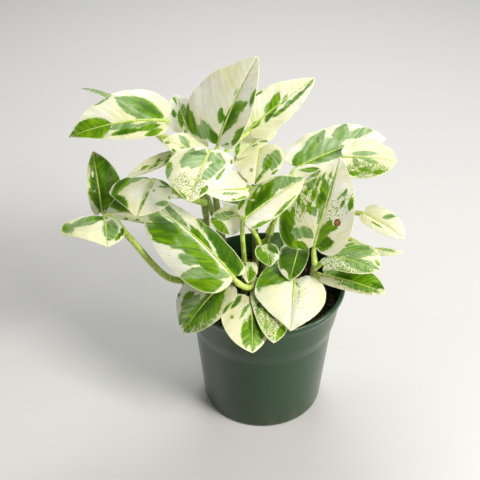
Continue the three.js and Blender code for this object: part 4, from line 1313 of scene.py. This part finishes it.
def leaf_piece(name, plan, number):
    blade = Blade(plan)
    sheet = blade_sheet(name, plan, blade, number)
    count = len(sheet.polygons)
    piece = new_piece("leaf_" + name + "_blade", sheet)
    size = min(1.0, blade.length / FULL_RELIEF_LENGTH)
    relief = {key: value * size for key, value in RELIEF.items()}
    with_tree(piece, "blade_relief", Finish=upper_skin, **relief)
    wall = piece.modifiers.new("thickness", "SOLIDIFY")
    wall.thickness = BLADE_THICKNESS * MM
    wall.offset = -1
    mesh = settle(piece).data
    mesh.materials.clear()
    mesh.materials.append(upper_skin)
    mesh.materials.append(lower_skin)
    which = np.zeros(len(mesh.polygons), np.int32)
    which[count:2 * count] = 1
    mesh.polygons.foreach_set("material_index", which)
    mesh.shade_smooth()
    mesh.set_sharp_from_angle(angle=math.radians(SHARPEST_BEND))
    return joined(piece, petiole(name, plan, blade))


faces = 0
for number, (name, plan) in enumerate(LEAVES.items()):
    piece = leaf_piece(name, plan, number)
    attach(piece, "root")
    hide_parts("leaf_" + name)
    faces += len(piece.data.polygons)
print("leaves grown:", len(LEAVES), "with", faces, "faces")

# %% [markdown]
# ## The pot
# A nursery pot is one thin shell of moulded plastic: a foot to stand on, a long tapering wall, a
# step that stops stacked pots from jamming, and a rolled lip for the fingers. Turned parts are best
# made as one profile swept round the axis, with every corner rounded as the mould leaves it. The
# drain holes are then bored through the floor.

# %% Shader group of moulded plastic
web, source, target = shader_group("moulded_plastic", ["Scale"], ["Grain", "Flow", "Dust", "Scratch"])
place = web.place()
x, y, z = web.split(place)
turn = web.math("ARCTAN2", y, x)
round_wall = web.join(web.math("COSINE", turn), web.math("SINE", turn), z * 6.0)
slant = web.join(turn * 3.0, z * 260.0, 0.0)
web.dress(target, {
    "Grain": web.noise(place, source["Scale"], 3.0, 0.6),
    "Flow": web.noise(round_wall, 2.3, 3.0, 0.6),
    "Dust": web.between(web.noise(place, source["Scale"] * 0.35, 4.0, 0.7), 0.60, 0.74),
    "Scratch": web.between(web.noise(slant, 3.0, 2.0, 0.7), 0.66, 0.72),
})
print("group: moulded_plastic")

# %% Material of the pot
GREEN_PLASTIC = (0.013, 0.043, 0.014), (0.021, 0.060, 0.023)
DUST, SOILED = (0.28, 0.27, 0.22), (0.10, 0.075, 0.045)
SOILED_UP_TO = 0.022

pot_plastic, web, skin = new_material("pot_plastic", (0.10, 0.16, 0.08))
moulded = use_group(web, "moulded_plastic", Scale=2600.0)
_, _, height = web.split(web.place())
soiled = (1.0 - web.between(height, 0.0, SOILED_UP_TO)) * web.between(moulded["Flow"], 0.45, 0.62)
colour = web.mix(moulded["Flow"], *GREEN_PLASTIC)
colour = web.mix(moulded["Dust"] * 0.22, colour, DUST)
colour = web.mix(soiled * 0.35, colour, SOILED)
rough = 0.15 + moulded["Grain"] * 0.12 + moulded["Dust"] * 0.25
relief = moulded["Grain"] * 0.5 + moulded["Flow"] * 1.2 - moulded["Scratch"] * 0.25
bump = web.bump(relief, 0.00025, 0.5)
web.dress(skin, {"Base Color": colour, "Roughness": rough, "Normal": bump, "Specular IOR Level": 0.5})
print("material:", pot_plastic.name)

# %% Pot profile with rounded corners
FOOT_RADIUS, STEP_RADIUS, STEP_LEVEL = 41, 47.2, 64
WALL_AT_FLOOR, FLOOR_THICK = 3.2, 2.2
MOST_OF_A_SIDE = 0.45


def taper(z):
    return FOOT_RADIUS + z / STEP_LEVEL * (STEP_RADIUS - FOOT_RADIUS)


# Each corner is its radius from the axis, its height and how round it is.
POT_PROFILE = [
    (0, 0, 0), (39.8, 0, 0.5), (40.7, 0.6, 0.5), (taper(2.5), 2.5, 0.8), (STEP_RADIUS, STEP_LEVEL, 2.0),
    (48.2, 67.5, 1.5), (49.7, 73, 2.0), (52.6, 91, 1.0), (54.3, 93, 0.8), (55, 95.4, 1.2),
    (54.4, 97.4, 0.8), (53.2, 98, 0.6), (52, 97.2, 0.6), (51, 91, 1.0), (48.1, 73, 2.0), (46.6, 67.5, 1.5),
    (45.6, 64, 2.0), (taper(FLOOR_THICK) - WALL_AT_FLOOR, FLOOR_THICK, 1.5), (0, FLOOR_THICK, 0),
]


def rounded(corners, steps=4):
    """Replaces each corner of a profile by a short arc-like curve."""
    out = [np.array(corners[0][:2], float)]
    for before, here, after in zip(corners, corners[1:], corners[2:]):
        a, b, c = (np.array(p[:2], float) for p in (before, here, after))
        back, on = a - b, c - b
        before_it, after_it = np.linalg.norm(back), np.linalg.norm(on)
        reach = min(here[2], MOST_OF_A_SIDE * before_it, MOST_OF_A_SIDE * after_it)
        start, end = b + back / before_it * reach, b + on / after_it * reach
        for t in np.linspace(0, 1, steps + 1):
            out.append((1 - t) ** 2 * start + 2 * t * (1 - t) * b + t * t * end)
    out.append(np.array(corners[-1][:2], float))
    return out


def subdivided(profile, longest):
    """Adds points so that no step along the profile is longer than this."""
    out = [profile[0]]
    for a, b in zip(profile, profile[1:]):
        count = max(1, math.ceil(np.linalg.norm(b - a) / longest))
        out += [a + (b - a) * k / count for k in range(1, count + 1)]
    return out


print("pot profile:", len(POT_PROFILE), "corners")

# %% Turning a profile


def turned(name, rings, sides, level, bottom=None):
    """Rings of (radius, height) joined round the axis and closed by a point on top.

    A height of None is taken from level(radius, angle), and so is the top point's. bottom is the height
    of a point that closes the underside, where it has one."""
    points, faces = [], []
    for r, z in rings:
        for k in range(sides):
            angle = 2 * math.pi * k / sides
            points.append((r * math.cos(angle), r * math.sin(angle), level(r, angle) if z is None else z))
    points.append((0, 0, level(0, 0)))
    last = (len(rings) - 1) * sides
    for k in range(sides):
        n = (k + 1) % sides
        for low in range(0, last, sides):
            faces.append((low + k, low + n, low + sides + n, low + sides + k))
        faces.append((last + k, last + n, len(points) - 1))
    if bottom is not None:
        points.append((0, 0, bottom))
        faces += [((k + 1) % sides, k, len(points) - 1) for k in range(sides)]
    return mesh_in_mm(name, points, [], faces)


print("turned() joins", len(POT_PROFILE) - 2, "or more rings round the axis")

# %% Turn and drill the pot
LONGEST_STEP = 9
POT_SIDES = 192
DRAIN_HOLES, DRAIN_RADIUS, DRAIN_CIRCLE, DRILL_DEPTH = 6, 3.5, 28, 12
POT_SHARPEST_BEND = 35

profile = subdivided(rounded(POT_PROFILE), LONGEST_STEP)
pot_mesh = turned("nursery_pot", profile[1:-1], POT_SIDES, lambda r, angle: FLOOR_THICK, 0)
pot = new_piece("nursery_pot", pot_mesh)
with_tree(pot, "ring_of_holes", Holes=DRAIN_HOLES, Circle=DRAIN_CIRCLE * MM, Hole_Radius=DRAIN_RADIUS * MM,
          Depth=DRILL_DEPTH * MM, Finish=pot_plastic)
settle(pot)
pot.data.shade_smooth()
pot.data.set_sharp_from_angle(angle=math.radians(POT_SHARPEST_BEND))
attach(pot, "root")
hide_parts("pot")
print("pot turned from", len(profile), "profile points with", DRAIN_HOLES, "drain holes")

# %% [markdown]
# ## The potting mix
# The mix is dark peat with chips of orange-brown bark. It fills the pot as one settled body
# with a slightly uneven top. Crumbs and chips are strewn over that top and half sunk, so the
# surface reads as loose even though it is one piece.

# %% Shader group and materials of the mix
web, source, target = shader_group("crumbly", ["Scale"], ["Lump", "Grit"])
grit = {"Vector": web.place(), "Scale": source["Scale"] * 4.0}
web.feed(target["Lump"], web.noise(web.place(), source["Scale"], 4.0, 0.65))
web.feed(target["Grit"], web.out("ShaderNodeTexVoronoi", grit, "Distance"))


def mix_skin(name, dark, light, scale, least_rough):
    material, web, skin = new_material(name, light)
    crumbly = use_group(web, "crumbly", Scale=scale)
    colour = web.mix(web.between(crumbly["Lump"], 0.36, 0.64), dark, light)
    colour = web.mix(crumbly["Grit"] * 0.5, colour, dark)
    rough = least_rough + crumbly["Lump"] * 0.15
    bump = web.bump(crumbly["Lump"] + crumbly["Grit"], 0.0006, 0.9)
    web.dress(skin, {"Base Color": colour, "Roughness": rough, "Normal": bump, "Specular IOR Level": 0.25})
    return material


peat = mix_skin("peat", (0.006, 0.0045, 0.0035), (0.030, 0.020, 0.013), 500.0, 0.80)
bark = mix_skin("bark", (0.075, 0.028, 0.012), (0.23, 0.095, 0.040), 260.0, 0.72)
fibre = mix_skin("pale_fibre", (0.16, 0.10, 0.055), (0.34, 0.25, 0.15), 400.0, 0.75)
print("materials:", peat.name, bark.name, fibre.name)

# %% The settled body of the mix
SOIL_BUMP, SOIL_FADE = 1.6, 8
SOIL_TOP_RADIUS, SOIL_RINGS = 48.6, 30
SOIL_SIDES = [(36.2, 2.5), (45.3, 64.3), (46.3, 67.8), (47.8, 73.3), (49.2, 83)]
SOIL_ROUND = 96


def soil_level(r, angle):
    share = min(1.0, (SOIL_TOP_RADIUS - r) / SOIL_FADE)
    waves = 0.5 * math.sin(3 * angle + r / 7) + 0.5 * math.cos(5 * angle - r / 5)
    return SOIL_LEVEL + SOIL_BUMP * share * waves


top_rings = [(r, None) for r in np.linspace(SOIL_TOP_RADIUS, 1.5, SOIL_RINGS)]
body = turned("potting_mix_body", SOIL_SIDES + top_rings, SOIL_ROUND, soil_level, SOIL_SIDES[0][1])
potting_mix = new_piece("potting_mix_body", body)
potting_mix.data.materials.append(peat)
potting_mix.data.shade_smooth()
print("settled body with", len(potting_mix.data.polygons), "faces")

# %% Crumbs, chips and fibres
# form is length, width and height in mm, cuts how often the ball's faces are cut in four, apart the
# least distance in mm, sizes the smallest and largest scale, and lean the tilt in radians.
STREWN = {
    "crumb": dict(form=(2.0, 1.6, 1.3), cuts=2, apart=1.9, sizes=(0.4, 1.25), lean=1.2, finish=peat),
    "bark_chip": dict(form=(5.0, 2.6, 1.2), cuts=2, apart=5.0, sizes=(0.35, 1.0), lean=0.45, finish=bark),
    "bark_splinter": dict(form=(4.2, 1.0, 0.7), cuts=1, apart=6.5, sizes=(0.4, 1.0), lean=0.35, finish=bark),
    "fibre": dict(form=(4.5, 0.45, 0.4), cuts=1, apart=9.0, sizes=(0.4, 1.0), lean=0.3, finish=fibre),
}
STREWN_RADIUS = 46.5
FIRST_SEED = 3


def rough_ball(name, form, cuts, seed):
    """A lumpy ball squashed to half the given length, width and height each way."""
    draw = random.Random(seed)
    blank = bmesh.new()
    bmesh.ops.create_icosphere(blank, subdivisions=cuts, radius=1.0)
    for vertex in blank.verts:
        vertex.co *= draw.uniform(0.78, 1.12)
        vertex.co = Vector([c * size / 2 * MM for c, size in zip(vertex.co, form)])
    mesh = bpy.data.meshes.new(name)
    blank.to_mesh(mesh)
    blank.free()
    return bpy.data.objects.new(name, mesh)


for number, (name, rule) in enumerate(STREWN.items()):
    shape = rough_ball(name + "_shape", rule["form"], rule["cuts"], number)
    top = turned("strewn_" + name, [(STREWN_RADIUS, None), *top_rings[3:]], SOIL_ROUND, soil_level)
    scatter = new_piece("strewn_" + name, top)
    with_tree(scatter, "strew_over_surface", Shape=shape, Apart=rule["apart"] * MM, Smallest=rule["sizes"][0],
              Largest=rule["sizes"][1], Lean=rule["lean"], Seed=number + FIRST_SEED, Finish=rule["finish"])
    settle(scatter)
    print(name, "faces:", len(scatter.data.polygons))
    joined(potting_mix, scatter)
    bpy.data.objects.remove(shape)
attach(potting_mix, "root")
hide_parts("potting_mix")
print("potting mix with", len(potting_mix.data.polygons), "faces")
